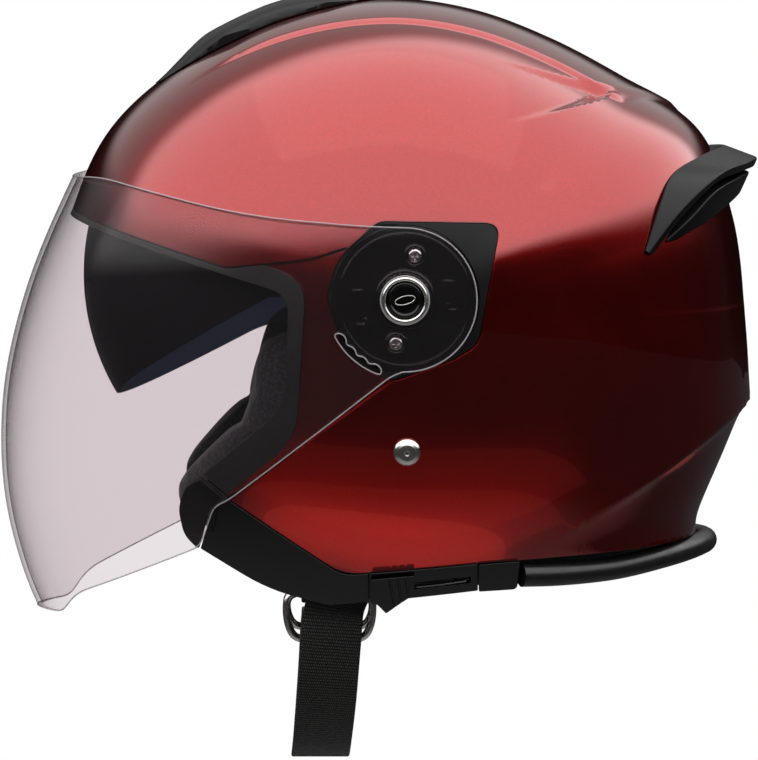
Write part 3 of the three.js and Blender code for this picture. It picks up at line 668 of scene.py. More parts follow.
# Webbing: rows of short threads across the strap, half a step apart from row to row.
WEBBING = material("ribbed_webbing", (0.012, 0.012, 0.012), 0.5, Specular_IOR_Level=0.25)
ROW_MM = 1.45
THREAD_MM = 0.95
along = (node(WEBBING, "ShaderNodeAttribute", attribute_name="along"), "Fac")
across = (node(WEBBING, "ShaderNodeAttribute", attribute_name="across"), "Fac")
row = maths(WEBBING, "DIVIDE", along, ROW_MM)
shift = maths(WEBBING, "MULTIPLY", maths(WEBBING, "FLOOR", row), 0.5)
thread = maths(WEBBING, "ADD", maths(WEBBING, "DIVIDE", across, THREAD_MM), shift)


def humps(place):
    """One rounded hump for each whole step of a place."""
    return maths(WEBBING, "ABSOLUTE", maths(WEBBING, "SINE", maths(WEBBING, "MULTIPLY", place, math.pi)))


weave = maths(WEBBING, "MULTIPLY", humps(row), maths(WEBBING, "POWER", humps(thread), 0.6))
# Darker down between the threads and lighter on their tops: the dark is painted shade in the gaps of the
# weave.
tint(WEBBING, *weave, (0.0005, 0.0005, 0.0005), (0.05, 0.048, 0.045), 0.3, 0.95)
relief(WEBBING, *weave, 0.3, 0.9)


def clear_sheet(name, colour, haze, rough=0.02):
    """A thin sheet: what is behind it shows, tinted and a little milky, under its own gloss."""
    made = bpy.data.materials.new(name)
    made.use_nodes = True
    film = bsdf_of(made)
    film.inputs["Base Color"].default_value = (0.8, 0.76, 0.78, 1)
    film.inputs["Roughness"].default_value = 0.6
    pass_through = node(made, "ShaderNodeBsdfTransparent", Color=(*colour, 1))
    base = node(made, "ShaderNodeMixShader", Fac=haze)
    link(made, pass_through, "BSDF", base, 1)
    link(made, film, "BSDF", base, 2)
    facing = (node(made, "ShaderNodeLayerWeight"), "Facing")
    rim = maths(made, "MULTIPLY", maths(made, "POWER", facing, 4.5), 0.7)
    shine = maths(made, "ADD", rim, 0.012)
    top = node(made, "ShaderNodeMixShader")
    link(made, *shine, top, 0)
    link(made, base, "Shader", top, 1)
    link(made, node(made, "ShaderNodeBsdfGlossy", Roughness=rough), "BSDF", top, 2)
    link(made, top, "Shader", made.node_tree.nodes["Material Output"], "Surface")
    return made


CLEAR = clear_sheet("clear_polycarbonate", (0.915, 0.885, 0.895), 0.006)
CLEAR_EDGE = clear_sheet("cut_polycarbonate_edge", (0.8, 0.76, 0.79), 0.3, 0.15)
SMOKE = clear_sheet("smoke_polycarbonate", (0.1, 0.12, 0.17), 0.01)


# ---- Pieces ----
def finish_piece(obj, name, made, slot, body_name, *nodes):
    obj.name = name
    obj.data.name = name
    if not any(obj.data.materials):
        obj.data.materials.clear()
        obj.data.materials.append(made)
    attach(obj, body_name)
    if nodes:
        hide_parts(*nodes)
    return obj


def finish_pair(obj, name, made, slot, body_names, node_name=None):
    """The piece on the left and its mirror image on the right."""
    twin = mirrored(obj, name)
    if isinstance(body_names, str):
        body_names = (body_names, body_names)
    for piece, side, body_name in zip((obj, twin), ("left", "right"), body_names):
        nodes = [f"{node_name}_{side}"] if node_name else []
        finish_piece(piece, f"{side}_{name}", made, slot, body_name, *nodes)
    return obj, twin


GAP = 0.35


def pocket(outline, skin):
    return combine(prism(outline, arc=10), body(skin, 120, 60))


def recessed(depth, zone_margin, plate_margin, around, across, pocket_depth=None):
    """The skin at a depth, set in at the visor's zone and set in further at its plates."""
    if pocket_depth is None:
        pocket_depth = depth
    zone = pocket(grow(VISOR_ZONE, zone_margin), Skin(pocket_depth - VISOR_RECESS))
    seat = pocket(grow(PLATE, plate_margin), Skin(pocket_depth - PLATE_RECESS))
    return cut(body(Skin(depth, True), around, across), zone, seat)


def rod(radius, low, high, centre, segments=64):
    return turned([(0, low), (radius, low), (radius, high), (0, high)], segments, centre)


def shell():
    hollow = recessed(-SHELL_WALL, 4, 3.6, 160, 80)
    openings = prism(grow(EYE_PORT, 3), arc=12), prism(BELOW_SHELL, arc=12)
    made = cut(recessed(0, 0.8, GAP, 420, 210), hollow, *openings)
    return shade(made, [Skin(-VISOR_RECESS), Skin(-PLATE_RECESS), Skin(0, True)])


SHELL = finish_piece(shell(), "shell", PAINT, "paint", "helmet", "outer_shell")


def tube(path, radius, up, closed=False, sides=20):
    """A round bar along a path (n, 3); its section turns with a steady up direction."""
    ahead = headings(path, closed)
    up = np.broadcast_to(np.asarray(up, float), path.shape)
    up = unit(up - ahead * np.sum(ahead * up, 1)[:, None])
    aside = np.cross(ahead, up)
    turn = np.linspace(0, 2 * math.pi, sides, endpoint=False)
    section = up[:, None] * np.cos(turn)[:, None] + aside[:, None] * np.sin(turn)[:, None]
    rings = path[:, None] + radius * section
    return new_object("tube", *closed_grid(rings, loop=closed))


# ---- Visor ----
RATCHET = {"radius": 31.2, "from": 206, "to": 252, "lobes": 4, "size": 2.5}


def ratchet_slot():
    """The scalloped slot: overlapping round lobes on an arc about the pivot."""
    first, last, count = RATCHET["from"], RATCHET["to"], RATCHET["lobes"]
    inner, outer = [], []
    for angle in np.linspace(first, last, 12 * count + 1):
        along_slot = (angle - first) / (last - first)
        lobe = abs(math.sin(math.pi * along_slot * count))
        swell = RATCHET["size"] * (0.35 + 0.65 * lobe)
        turn = math.radians(angle)
        for rail, reach in ((inner, RATCHET["radius"] - swell), (outer, RATCHET["radius"] + 1.2)):
            rail.append((PIVOT[0] + reach * math.cos(turn), PIVOT[1] + reach * math.sin(turn)))
    return prism(inner + outer[::-1], 60, SPAN)


def edge_faces(obj, surfaces, made, edge):
    """Gives the cut edges, the faces that lie on none of the surfaces, a material of their own.

    Returns the loops of points, in millimetres, where the first surface meets those edges.
    """
    mesh = obj.data
    mesh.materials.clear()
    mesh.materials.append(made)
    mesh.materials.append(edge)
    centres = read(mesh.polygons, "center") / MM
    flat = read(mesh.polygons, "normal")
    on_face = np.zeros(len(mesh.polygons), bool)
    for surface in surfaces:
        exact, away = surface.normal(centres)
        on_face |= (np.abs(away) < 0.2) & (np.abs(np.sum(exact * flat, 1)) > 0.8)
    mesh.polygons.foreach_set("material_index", np.where(on_face, 0, 1).astype(np.int32))
    bm = bmesh.new()
    bm.from_mesh(mesh)
    rim = [e for e in bm.edges if len({f.material_index for f in e.link_faces}) == 2]
    spots = np.array([v.co for v in bm.verts]) / MM
    outside = np.abs(surfaces[0].normal(spots)[1]) < 0.15
    ways = {}
    for e in rim:
        a, b = (v.index for v in e.verts)
        if outside[a] and outside[b]:
            ways.setdefault(a, []).append(b)
            ways.setdefault(b, []).append(a)
    bm.free()
    loops = []
    while ways:
        here = min(ways)
        loop = []
        while here is not None:
            loop.append(here)
            ahead = [k for k in ways.pop(here) if k in ways]
            here = ahead[0] if ahead else None
        if len(loop) > 20:
            loops.append(spots[loop])
    return loops


BEAD_STEP = 1.1


def beads(loops, surface, radius):
    """A thin bright line along each cut edge, where the sheet's corner catches the light."""
    made = []
    for loop in loops:
        path = even_loop(loop, max(48, int(travelled(looped(loop))[-1] / BEAD_STEP)))
        made.append(tube(path, radius, surface.normal(path)[0], True, 8))
    return shade(join(*made), sharp=60)


def even_loop(loop, count):
    """Evenly spaced points round a closed run of points, lightly smoothed."""
    path = evenly(looped(loop), count, False)[0]
    return (np.roll(path, 1, 0) + 2 * path + np.roll(path, -1, 0)) / 4


def join(first, *others):
    """One mesh of several, attributes kept."""
    if others:
        with bpy.context.temp_override(active_object=first, selected_editable_objects=[first, *others]):
            bpy.ops.object.join()
    return first


def visor():
    outer, inner = Skin(0, visor=True), Skin(-VISOR_WALL, visor=True)
    made = combine(body(outer, 360, 180, "visor"), body(inner, 360, 180))
    outline = combine(prism(VISOR_EDGE, arc=12), rod(DISC_R, -SPAN, SPAN, PIVOT, 96), "UNION")
    combine(made, outline, "INTERSECT")
    slot = ratchet_slot()
    cut(made, rod(10, -SPAN, SPAN, PIVOT), mirrored(slot, "slot"), slot)
    loops = edge_faces(made, (outer, inner), CLEAR, CLEAR_EDGE)
    return shade(made, [outer, inner]), beads(loops, outer, 0.32)


visor_sheet, visor_rim = visor()
finish_piece(visor_sheet, "visor_shield", CLEAR, "clear", "visor_shield", "visor")
finish_piece(visor_rim, "visor_rim_line", CLEAR_EDGE, "clear", "visor_shield")


# ---- Pivots ----
PLATE_FLOOR = 120.4
SCREWS = {"upper": (5.7, 25.5), "lower": (-2.1, -10.5)}
CATCHES = [((17.4, 15.4), 1, 1), ((18.6, 2.6), 1, -1), ((-16, 11.6), -1, 1), ((-14, -3.4), -1, -1)]


def screw_holes():
    return [rod(1.9, 0, SPAN, spot, 32) for spot in SCREWS.values()]


def plate():
    made = keep_left(layer(PLATE, 0, PLATE_RECESS - 0.7))
    disc = rod(DISC_R + 1, PLATE_FLOOR, SPAN, PIVOT, 128)
    cut(made, disc, prism(grow(VISOR_EDGE, 1), PLATE_FLOOR, SPAN, 10), rod(8.2, 0, SPAN, PIVOT))
    return shade(cut(made, *screw_holes()), [Skin(0)])


def dial():
    """The glossy floor behind the visor's disc: ridges, screw cups and the four catches."""
    low = PLATE_FLOOR + 0.02
    made = turned([(8.3, low), (30.3, low), (30.3, 120.7), (8.3, 120.7)], 160, PIVOT)
    combine(made, prism(grow(PLATE, -0.6), 100, 140), "INTERSECT")
    cut(made, *screw_holes())
    seat = [(10.3, low), (12.4, low), (12.4, 121.5), (11.9, 121.9), (10.8, 121.9), (10.3, 121.5)]
    rim = [(26.6, low), (27.6, low), (27.3, 121.3), (26.9, 121.3)]
    for ridge in (seat, rim):
        combine(made, turned(ridge, 96, PIVOT), "UNION")
    for spot in SCREWS.values():
        cup = [(1.9, low), (4.6, low), (4.6, 121.9), (3.9, 122.1), (3.4, 121.9), (3.4, 120.9), (1.9, 120.9)]
        collar = fillet(cup, 0.15, 2, True)
        combine(made, turned(collar, 48, spot), "UNION")
    for (y, z), toward, lift in CATCHES:
        corner = [(0, 0), (4, 0), (4, 1), (1, 1), (1, 3.4), (0, 3.4)]
        hook = [(y + toward * a, z + lift * -b, 0.2) for a, b in corner]
        combine(made, prism(hook, low, 122.4, 3), "UNION")
    return shade(made)


def screw(spot):
    profile = [(0, 114.8), (1.5, 114.8), (1.5, 121.3), (2.9, 121.3), (2.9, 122.3), (2.3, 123), (0, 123)]
    made = turned(fillet(profile, 0.3, 4), 40, spot)
    y, z = spot
    for wide, tall in ((1.5, 0.32), (0.32, 1.5)):
        combine(made, prism(box(y - wide, y + wide, z - tall, z + tall), 122.1, 130))
    return shade(made)


def hub():
    low = PLATE_FLOOR + 0.3
    profile = [(7.9, low), (9.6, low), (9.6, 126.7), (9.1, 127.3), (8.4, 127.3), (7.9, 126.8)]
    return shade(turned(fillet(profile, 0.25, 4, True), 96, PIVOT), sharp=50)


def button():
    """A hollow cap with a shallow dish in its face."""
    outside = [(7.5, 120.9), (7.5, 126.1), (7, 126.6), (6.1, 126.6), (5.8, 126.2), (0, 126.2)]
    made = turned([(6, 120.9)] + fillet(outside, 0.2, 3) + [(0, 125.2), (6, 125.2)], 72, PIVOT)
    return shade(made)


def mark():
    """The generic sign on the button: a slanted oval ring."""
    turn = np.radians(np.arange(0, 360, 5))
    flat = np.stack([4.2 * np.cos(turn), 1.7 * np.sin(turn)])
    slant = math.radians(14)
    y = PIVOT[0] + flat[0] * math.cos(slant) - flat[1] * math.sin(slant)
    z = PIVOT[1] + flat[0] * math.sin(slant) + flat[1] * math.cos(slant)
    path = np.column_stack([np.full_like(y, 126.25), y, z])
    return shade(tube(path, 0.18, (1, 0, 0), True, 8))


finish_pair(plate(), "visor_base", SATIN, "satin", "helmet", "pivot_plate")
finish_pair(dial(), "pivot_dial", GLOSS, "gloss", "helmet")
for level, spot in SCREWS.items():
    finish_pair(screw(spot), f"{level}_screw", STEEL, "steel", "helmet", f"{level}_plate_screw")
finish_pair(hub(), "hub_ring", STEEL, "steel", "helmet", "visor_hub")
finish_pair(button(), "button_cap", GLOSS, "gloss", ("button_left", "button_right"), "release_button")
finish_pair(mark(), "button_mark", STEEL, "steel", ("button_left", "button_right"))


# ---- Liner, gasket and rim trims ----
SUN_LOW, SUN_HIGH = 62, 216


def sun_profile(offset, reach, count=48):
    x = -reach * np.cos(np.pi * np.arange(count + 1) / count)
    side = np.minimum(1, np.abs(x) / (SUN_HALF_WIDTH + offset))
    radius = (SUN_R + offset) * np.power(1 - np.power(side, SUN_SQUARENESS), 1 / SUN_SQUARENESS)
    return [(max(0.05, float(r)), float(v)) for r, v in zip(radius, x)]


def sun_pocket():
    reach = SUN_HALF_WIDTH - 6
    inside = [(max(0.5, r - 7), x) for r, x in sun_profile(0, reach)]
    block = rod(SPAN, -SPAN, SPAN, SUN_PIVOT, 96)
    combine(block, turned([(0, -reach - 0.1)] + inside + [(0, reach + 0.1)], 96, SUN_PIVOT))

    def ray(angle):
        turn = math.radians(angle)
        return (SUN_PIVOT[0] + SPAN * math.cos(turn), SUN_PIVOT[1] + SPAN * math.sin(turn))

    start = (SUN_PIVOT[0] + 16, SUN_PIVOT[1] - 16)
    return combine(block, prism([start] + [ray(a) for a in (SUN_LOW, 110, 150, 190, SUN_HIGH)]), "INTERSECT")


def passage(half_x, half_y, centre_y, top, round_top):
    """An upright oval opening for the head, from its top downwards."""
    turn = np.linspace(0, 2 * math.pi, 96, endpoint=False)
    tilt = np.linspace(0, math.pi / 2, 16)[1:]
    rings = [np.column_stack([half_x * np.sin(t) * np.cos(turn), half_y * np.sin(t) * np.sin(turn),
                              np.full(96, round_top * np.cos(t))]) for t in tilt]
    rings.append(np.column_stack([half_x * np.cos(turn), half_y * np.sin(turn), np.full(96, -SPAN)]))
    rings = np.array(rings) + (0, centre_y, top - round_top)
    ends = [(0, centre_y, top), (0, centre_y, top - round_top - SPAN)]
    return new_object("passage", *closed_grid(rings, ends))


def foam():
    margin = SHELL_WALL + 1
    made = recessed(-SHELL_WALL - 1.2, margin, GAP + margin, 240, 120, -SHELL_WALL - 0.6)
    cut(made, body(Skin(-FOAM_INNER), 160, 80), prism(grow(GASKET_OUTER, 0.6), arc=8))
    cut(made, prism(grow(BELOW_SHELL, 2), arc=8), passage(89, 114, 2, 0, 40), sun_pocket())
    cheeks = combine(prism(grow(CHEEK_PAD, 1.5)), body(Skin(-18), 120, 60), "INTERSECT")
    anchors = [(-14, -40), (18, -40), (18, -82), (0, -140), (-48, -140)]
    return shade(main_part(cut(made, cheeks, pocket(anchors, Skin(-16)))))


def main_part(obj):
    """Drops every loose piece but the largest."""
    bm = bmesh.new()
    bm.from_mesh(obj.data)
    left = set(bm.verts)
    groups = []
    while left:
        stack = [left.pop()]
        group = list(stack)
        while stack:
            for edge in stack.pop().link_edges:
                for other in edge.verts:
                    if other in left:
                        left.remove(other)
                        stack.append(other)
                        group.append(other)
        groups.append(group)
    groups.sort(key=len)
    bmesh.ops.delete(bm, geom=[v for group in groups[:-1] for v in group], context="VERTS")
    bm.to_mesh(obj.data)
    bm.free()
    return obj


def turned_up(obj, angle):
    """Swings a cutter up with the visor."""
    pivot = Vector((0, PIVOT[0] * MM, PIVOT[1] * MM))
    swing = Matrix.Rotation(math.radians(-angle), 4, "X")
    obj.data.transform(Matrix.Translation(pivot) @ swing @ Matrix.Translation(-pivot))
    return obj


def gasket():
    inner = cut(body(Skin(-4.6), 200, 100), pocket(VISOR_ZONE, Skin(-8.6)))
    made = cut(body(Skin(0.2), 300, 150), inner)
    combine(made, prism(GASKET_OUTER, arc=12), "INTERSECT")
    cut(made, prism(EYE_PORT, arc=12), prism(grow(BELOW_SHELL, 1.2)))
    space = Skin(-VISOR_WALL - 0.6, visor=True)
    combine(made, body(space, 200, 100), "INTERSECT")
    for angle in range(6, 55, 6):
        combine(made, turned_up(pocket(VISOR_EDGE, space), angle))
    core = recessed(-SHELL_WALL - 0.7, 5.4, 4.6, 160, 80)
    wall = cut(recessed(0.7, 0.1, -0.35, 300, 150), core, prism(grow(EYE_PORT, 2.3), arc=12))
    return shade(main_part(cut(made, wall)))


def rim_piece(outline, proud, depth=4):
    made = keep_left(layer([(*p[:2], *(p[2:] or (0.6,))) for p in outline], -proud, depth))
    return shade(made, [Skin(proud)])


def slot_prism(low, high, half):
    def line(y):
        return -113.6 + (y + 3.5) / 9

    corners = ((low, -half), (high, -half), (high, half), (low, half))
    return prism([(y, line(y) + rise, 0.8) for y, rise in corners])


def chin_cap():
    made = rim_piece([(*p[:2], *(p[2:] or (1,))) for p in CHIN_CAP], 1, 10)
    combine(made, body(Skin(-VISOR_WALL - 0.6, visor=True), 200, 100), "INTERSECT")
    return shade(made, [Skin(1)])


def knob():
    """The sun visor's lever: a thumb pad that narrows to a point under the rim, on a stem."""
    made = keep_left(layer(LEVER, -5, -2.2))
    ridge = [(-5.6, -106), (-4.6, -106), (-1.6, -124), (-2.6, -124)]
    for shift in (0, 3.4, 6.8):
        groove = prism([(y + shift, z, 0.2) for y, z in ridge], 0, SPAN)
        cut(made, cut(groove, body(Skin(4.4), 160, 80)))
    stem = combine(body(Skin(3), 120, 60), body(Skin(-1.2), 120, 60))
    stem = keep_left(combine(stem, slot_prism(-8.5, 1.5, 1.25), "INTERSECT"))
    return shade(combine(made, stem, "UNION"), [Skin(5)])


finish_piece(foam(), "foam_liner", FOAM, "foam", "helmet", "impact_liner")
finish_piece(gasket(), "port_gasket", RUBBER, "rubber", "helmet", "eye_port_gasket")
finish_pair(chin_cap(), "chin_end", GLOSS, "gloss", "helmet", "chin_cap")
finish_pair(rim_piece(CHEEK_TRIM, 0.6), "cheek_edge", GLOSS, "satin", "helmet", "cheek_trim")
finish_pair(rim_piece(JOINER, 1.4), "edge_joiner", GLOSS, "gloss", "helmet", "trim_joiner")
track = rim_piece(TRACK, 0.9)
finish_piece(mirrored(track, "track"), "right_side_rail", GLOSS, "gloss", "helmet", "side_trim_right")
combine(track, combine(slot_prism(-10.5, 29, 1.6), body(Skin(-1.6), 200, 100)))
finish_piece(shade(track, [Skin(0.9)]), "left_lever_track", GLOSS, "gloss", "helmet", "slider_track_left")
finish_piece(knob(), "sun_lever", GLOSS, "gloss", "rim_slider", "sun_visor_slider")

ROLL_HALF = [(95.2, 50, -108.6), (88.5, 66, -108.8), (74.5, 88, -108), (50, 111, -105.3), (24, 126, -103.4)]
ROLL_PATH = ROLL_HALF + [(0, 131.5, -103)] + [(-x, y, z) for x, y, z in ROLL_HALF[::-1]]
roll = tube(spline(ROLL_PATH, 160)[0], 5, (0, 0, 1))
finish_piece(shade(roll, sharp=60), "neck_tube", ROLL, "rubber", "helmet", "neck_roll")


# ---- Sun visor ----
def sun_lens():
    reach = SUN_HALF_WIDTH - 0.5
    half = SUN_WALL / 2
    shells = []
    for offset in (half, -half):
        stretch = 1 + offset / SUN_HALF_WIDTH
        profile = [(max(0.05, r + offset), x * stretch) for r, x in sun_profile(0, reach, 90)]
        ends = [(0, profile[0][1] - 0.01)], [(0, profile[-1][1] + 0.01)]
        shells.append(turned(ends[0] + profile + ends[1], 240, SUN_PIVOT))
    made = combine(*shells)
    combine(made, prism(SUN_EDGE, arc=12), "INTERSECT")
    combine(made, rod(3.2, -SPAN, SPAN, SUN_PIVOT))
    return shade(main_part(made), sharp=40)


finish_piece(sun_lens(), "sun_shield", SMOKE, "smoke", "sun_lens", "sun_visor")


# ---- Vents and spoiler ----
def between(rails, steps, corner):
    """A bar stretched between four rails that run from side to side, with rounded edges."""
    lines = [spline(half + [(-x, y, z) for x, y, z in half[-2::-1]], steps)[0] for half in rails]
    rings = [fillet([lines[k][i] for k in (0, 1, 3, 2)], corner, 4, True) for i in range(steps)]
    return new_object("bar", *closed_grid(np.array(rings)))


SPOILER = [
    [(96.5, 103, 25), (91, 116, 42), (72, 134, 57), (40, 147, 60.5), (0, 153.2, 61.5)],
    [(96, 101, 26.5), (87, 107.5, 45.5), (74.5, 113, 57), (46, 127, 64.2), (0, 138.5, 67)],
    [(92.5, 104.5, 24.4), (86, 116.5, 39), (70, 131, 52.5), (40, 144, 56.5), (0, 151.5, 57.5)],
    [(90, 99, 26), (80, 106, 43), (68, 110, 53), (44, 122, 58), (0, 132, 60)],
]
EXHAUST = [
    [(90.5, 106, 26.5), (81, 120, 38), (66, 131.5, 49), (38, 143, 54), (0, 149.8, 55.4)],
    [(86, 103, 27.5), (78, 112, 40), (64, 122, 50.5), (38, 134, 55), (0, 143, 57)],
    [(89, 107, 25.6), (79, 118.5, 31.8), (63, 129, 37), (30, 140, 43), (0, 145.8, 46.5)],
    [(84, 100, 25), (74, 110, 30), (60, 120, 34), (30, 132, 40), (0, 138, 42)],
]


def spoiler():
    return shade(combine(between(SPOILER, 120, 1.2), body(Skin(GAP, True), 240, 120)), sharp=42)


def exhaust():
    made = between(EXHAUST, 120, 1)
    shifts = [(0.5, 0.8, 0.6), (0.5, -1.5, 0.6), (0.5, 0.8, -0.7), (0.5, -1.5, -0.7)]
    clear = [[tuple(np.array(p) + shift) for p in rail] for rail, shift in zip(SPOILER, shifts)]
    cut(made, between(clear, 120, 0.2), body(Skin(GAP, True), 240, 120))
    for k in range(-4, 5):
        slot = plan_prism(box(k * 15 - 5.4, k * 15 + 5.4, 0, 3, 1.2), 0, 2.4)
        slot.data.transform(Matrix.Rotation(math.radians(90), 4, "X"))
        slot.data.transform(Matrix.Translation((0, 0.3, (44 - abs(k) * 1.7) * MM)))
        cut(made, cut(slot, body(Skin(5), 120, 60)))
    return shade(main_part(made), sharp=42)


def plan_prism(points, low=20, high=SPAN, arc=6):
    """An outline drawn from above, extruded upwards."""
    made = prism(points, low, high, arc)
    made.data.transform(Matrix(((0, 1, 0, 0), (0, 0, 1, 0), (1, 0, 0, 0), (0, 0, 0, 1))))
    return made


def both_sides(half):
    return half + [(-p[0], *p[1:]) for p in half[-2:0:-1]]


VENT_PLAN = both_sides([(0, -110), (22, -103, 10), (34, -72, 14), (27, -30, 20), (8, -4, 6), (0, -2)])
VENT_SLOT = both_sides([(0, -86), (11, -84, 2), (9.4, -60, 2), (0, -58)])
VENT_KNOB = both_sides([(0, -84.6), (9.4, -83, 2), (8.6, -72, 2), (0, -71)])


def hood(x, y, z):
    """Height of the crown vent above the shell: nothing at its front tip, rounded over to its sides."""
    half = np.interp(y, [-110, -103, -72, -30, -4], [8, 22, 34, 27, 9])
    across = np.clip(np.abs(x) / half, 0, 1)
    rise = smoothstep(-106, -72, y) * (1 - 0.75 * smoothstep(-55, -2, y))
    spine = 0.9 * np.exp(-((np.abs(x) - 15) / 2.2) ** 2)
    spine = spine * smoothstep(-98, -80, y) * (1 - smoothstep(-40, -15, y))
    top = np.where(z > 0, (6.4 * rise + 0.3) * np.sqrt(1 - across ** 4) + spine * (1 - across), 0)
    return styling(x, y, z) + np.minimum(top, 6.1)


def crown_vent():
    """A tapering hood with a ridge each side of its air slot."""
    made = combine(body(Skin(0, hood), 420, 210), plan_prism(VENT_PLAN, arc=12), "INTERSECT")
    cut(made, body(Skin(GAP, True), 300, 150), plan_prism(VENT_SLOT))
    return shade(main_part(made), [Skin(0, hood)], 40)


def vent_knob():
    made = combine(body(Skin(5.4), 200, 100), body(Skin(2.4), 120, 60))
    combine(made, plan_prism(VENT_KNOB), "INTERSECT")
    for k in range(3):
        front = -81 + k * 2.6
        groove = plan_prism(box(-6, 6, front, front + 1))
        combine(made, combine(groove, body(Skin(4.7), 120, 60)))
    return shade(made)


finish_piece(spoiler(), "tail_spoiler", SATIN, "satin", "helmet", "rear_spoiler")
finish_piece(exhaust(), "exhaust_grille", SATIN, "satin", "helmet", "rear_exhaust_vent")
finish_piece(crown_vent(), "top_vent", SATIN, "satin", "helmet", "crown_vent")
finish_piece(vent_knob(), "top_vent_shutter", GLOSS, "gloss", "vent_shutter", "crown_vent_slider")


# ---- Chin strap and its hardware ----
def rivet():
    shank = [(0, -8.4), (4.6, -8.4), (4.6, -7.2), (2.6, -7.2), (2.6, 0.5)]
    head = [(5.6, 0.5), (5.7, 1.1), (4.9, 2.1), (3.4, 2.8), (1.6, 2.9), (0, 2.7)]
    made = turned(fillet(shank + head, 0.35, 4), 64)
    combine(made, rod(1, 2.3, 6, (0, 0), 32))
    turn = Matrix.Rotation(math.radians(SKIN_TILT), 4, "Y")
    made.data.transform(Matrix.Translation(Vector(RIVET) * MM) @ turn)
    return shade(made, sharp=40)


STRAP_TOP = [(109.6, 1, -62), (105, -6, -80), (94.6, -16, -101), (85, -24, -115), (81.4, -27.5, -123.4)]
STRAP_LOOP = [
    (77.6, -29, -139), (65, -31, -164), (38, -33.4, -187), (8, -34.3, -195.4), (-20, -34, -192.5),
    (-46, -33, -178), (-60, -32, -162), (-69, -31.4, -149), (-78, -31, -144.2), (-87, -31, -142.8),
    (-94.6, -31, -145.2), (-98.4, -31, -150.6), (-95.4, -31, -156), (-88.4, -31, -156),
    (-82.4, -31, -152.4), (-77.6, -31, -150.4), (-73.4, -31.2, -152.4), (-71.6, -31.6, -159),
    (-66.6, -32.4, -171), (-60, -33, -182),
]
WEB_WIDTH, WEB_THICK = 25, 1.8
RING = {"y": -31, "z": -135, "wire": 1.75, "half": 18.4, "drop": 20}
RING_BARS = {"inner": (-78, 0), "outer": (-82.4, 35)}


def ribbon(points, steps, name, closed=False):
    """Webbing along a curve, its width along Y, with what the weave needs to know at each point."""
    path, length = (np.array(points), None) if closed else spline(points, steps)
    if closed:
        length = travelled(looped(path))[-1]
    ahead = headings(path, closed)
    out = unit(np.column_stack([ahead[:, 2], np.zeros(len(path)), -ahead[:, 0]]))
    aside = np.cross(out, ahead)
    half, thick = WEB_WIDTH / 2, WEB_THICK / 2
    flat = np.linspace(-half + thick, half - thick, 24)
    turn = np.radians(np.arange(-75, 76, 25))
    edge = [(half - thick + thick * math.cos(t), -thick * math.sin(t)) for t in turn]
    section = [(a, thick) for a in flat] + edge
    section += [(-a, -b) for a, b in section]
    section = np.array(section)
    rings = path[:, None] + aside[:, None] * section[None, :, :1] + out[:, None] * section[None, :, 1:]
    made = new_object(name, *closed_grid(rings, loop=closed))
    count = len(section)
    for label, values in (
        ("along", np.repeat(np.linspace(0, length, len(path)), count)),
        ("across", np.tile(section[:, 0] + half, len(path))),
    ):
        made.data.attributes.new(label, "FLOAT", "POINT").data.foreach_set("value", values.astype(np.float32))
    return shade(made, sharp=60)


def short_strap():
    web = ribbon([(-x, y, z) for x, y, z in STRAP_TOP + [(81.6, -29.6, -131.6)]], 60, "short")
    inner, outer = RING_BARS["inner"][0], RING_BARS["outer"][0]
    turn = np.radians(np.arange(-90, 91, 10))
    mid = 3.4
    right = [(inner + mid * math.cos(t), RING["y"], RING["z"] + mid * math.sin(t)) for t in turn]
    left = [(outer - mid * math.cos(t), RING["y"], RING["z"] - mid * math.sin(t)) for t in turn]
    return join(web, ribbon(right + left, 0, "sleeve", True))


def d_ring(x, lean):
    half, drop = RING["half"], RING["drop"]
    side = [(half * 0.8, 0), (half, -2.6), (half * 0.99, -drop * 0.7), (half * 0.8, -drop * 0.98)]
    points = [(0, 0)] + side + [(0, -drop)] + [(-y, z) for y, z in side[::-1]]
    path = spline([(0, y, z) for y, z in points], 120, True)[0]
    made = tube(path, RING["wire"], (1, 0, 0), True, 24)
    place_it = Matrix.Translation(Vector((x, RING["y"], RING["z"])) * MM)
    made.data.transform(place_it @ Matrix.Rotation(math.radians(lean), 4, "Y"))
    return shade(made, sharp=60)


finish_pair(rivet(), "rivet", STEEL, "steel", "helmet", "strap_rivet")
long_web = ribbon(STRAP_TOP + STRAP_LOOP, 360, "web")
finish_piece(long_web, "long_web", WEBBING, "webbing", "helmet", "long_strap")
finish_piece(short_strap(), "short_web", WEBBING, "webbing", "helmet", "short_strap")
for which, (bar_x, lean) in RING_BARS.items():
    finish_piece(d_ring(bar_x, lean), f"{which}_ring", STEEL, "steel", f"ring_{which}", f"{which}_d_ring")


# ---- Comfort pads ----
CLOTH_STEPS = 12
CLOTH_PRESSURE = 4
CHANNEL_DEPTH, CHANNEL_WIDTH = 1.6, 2.2


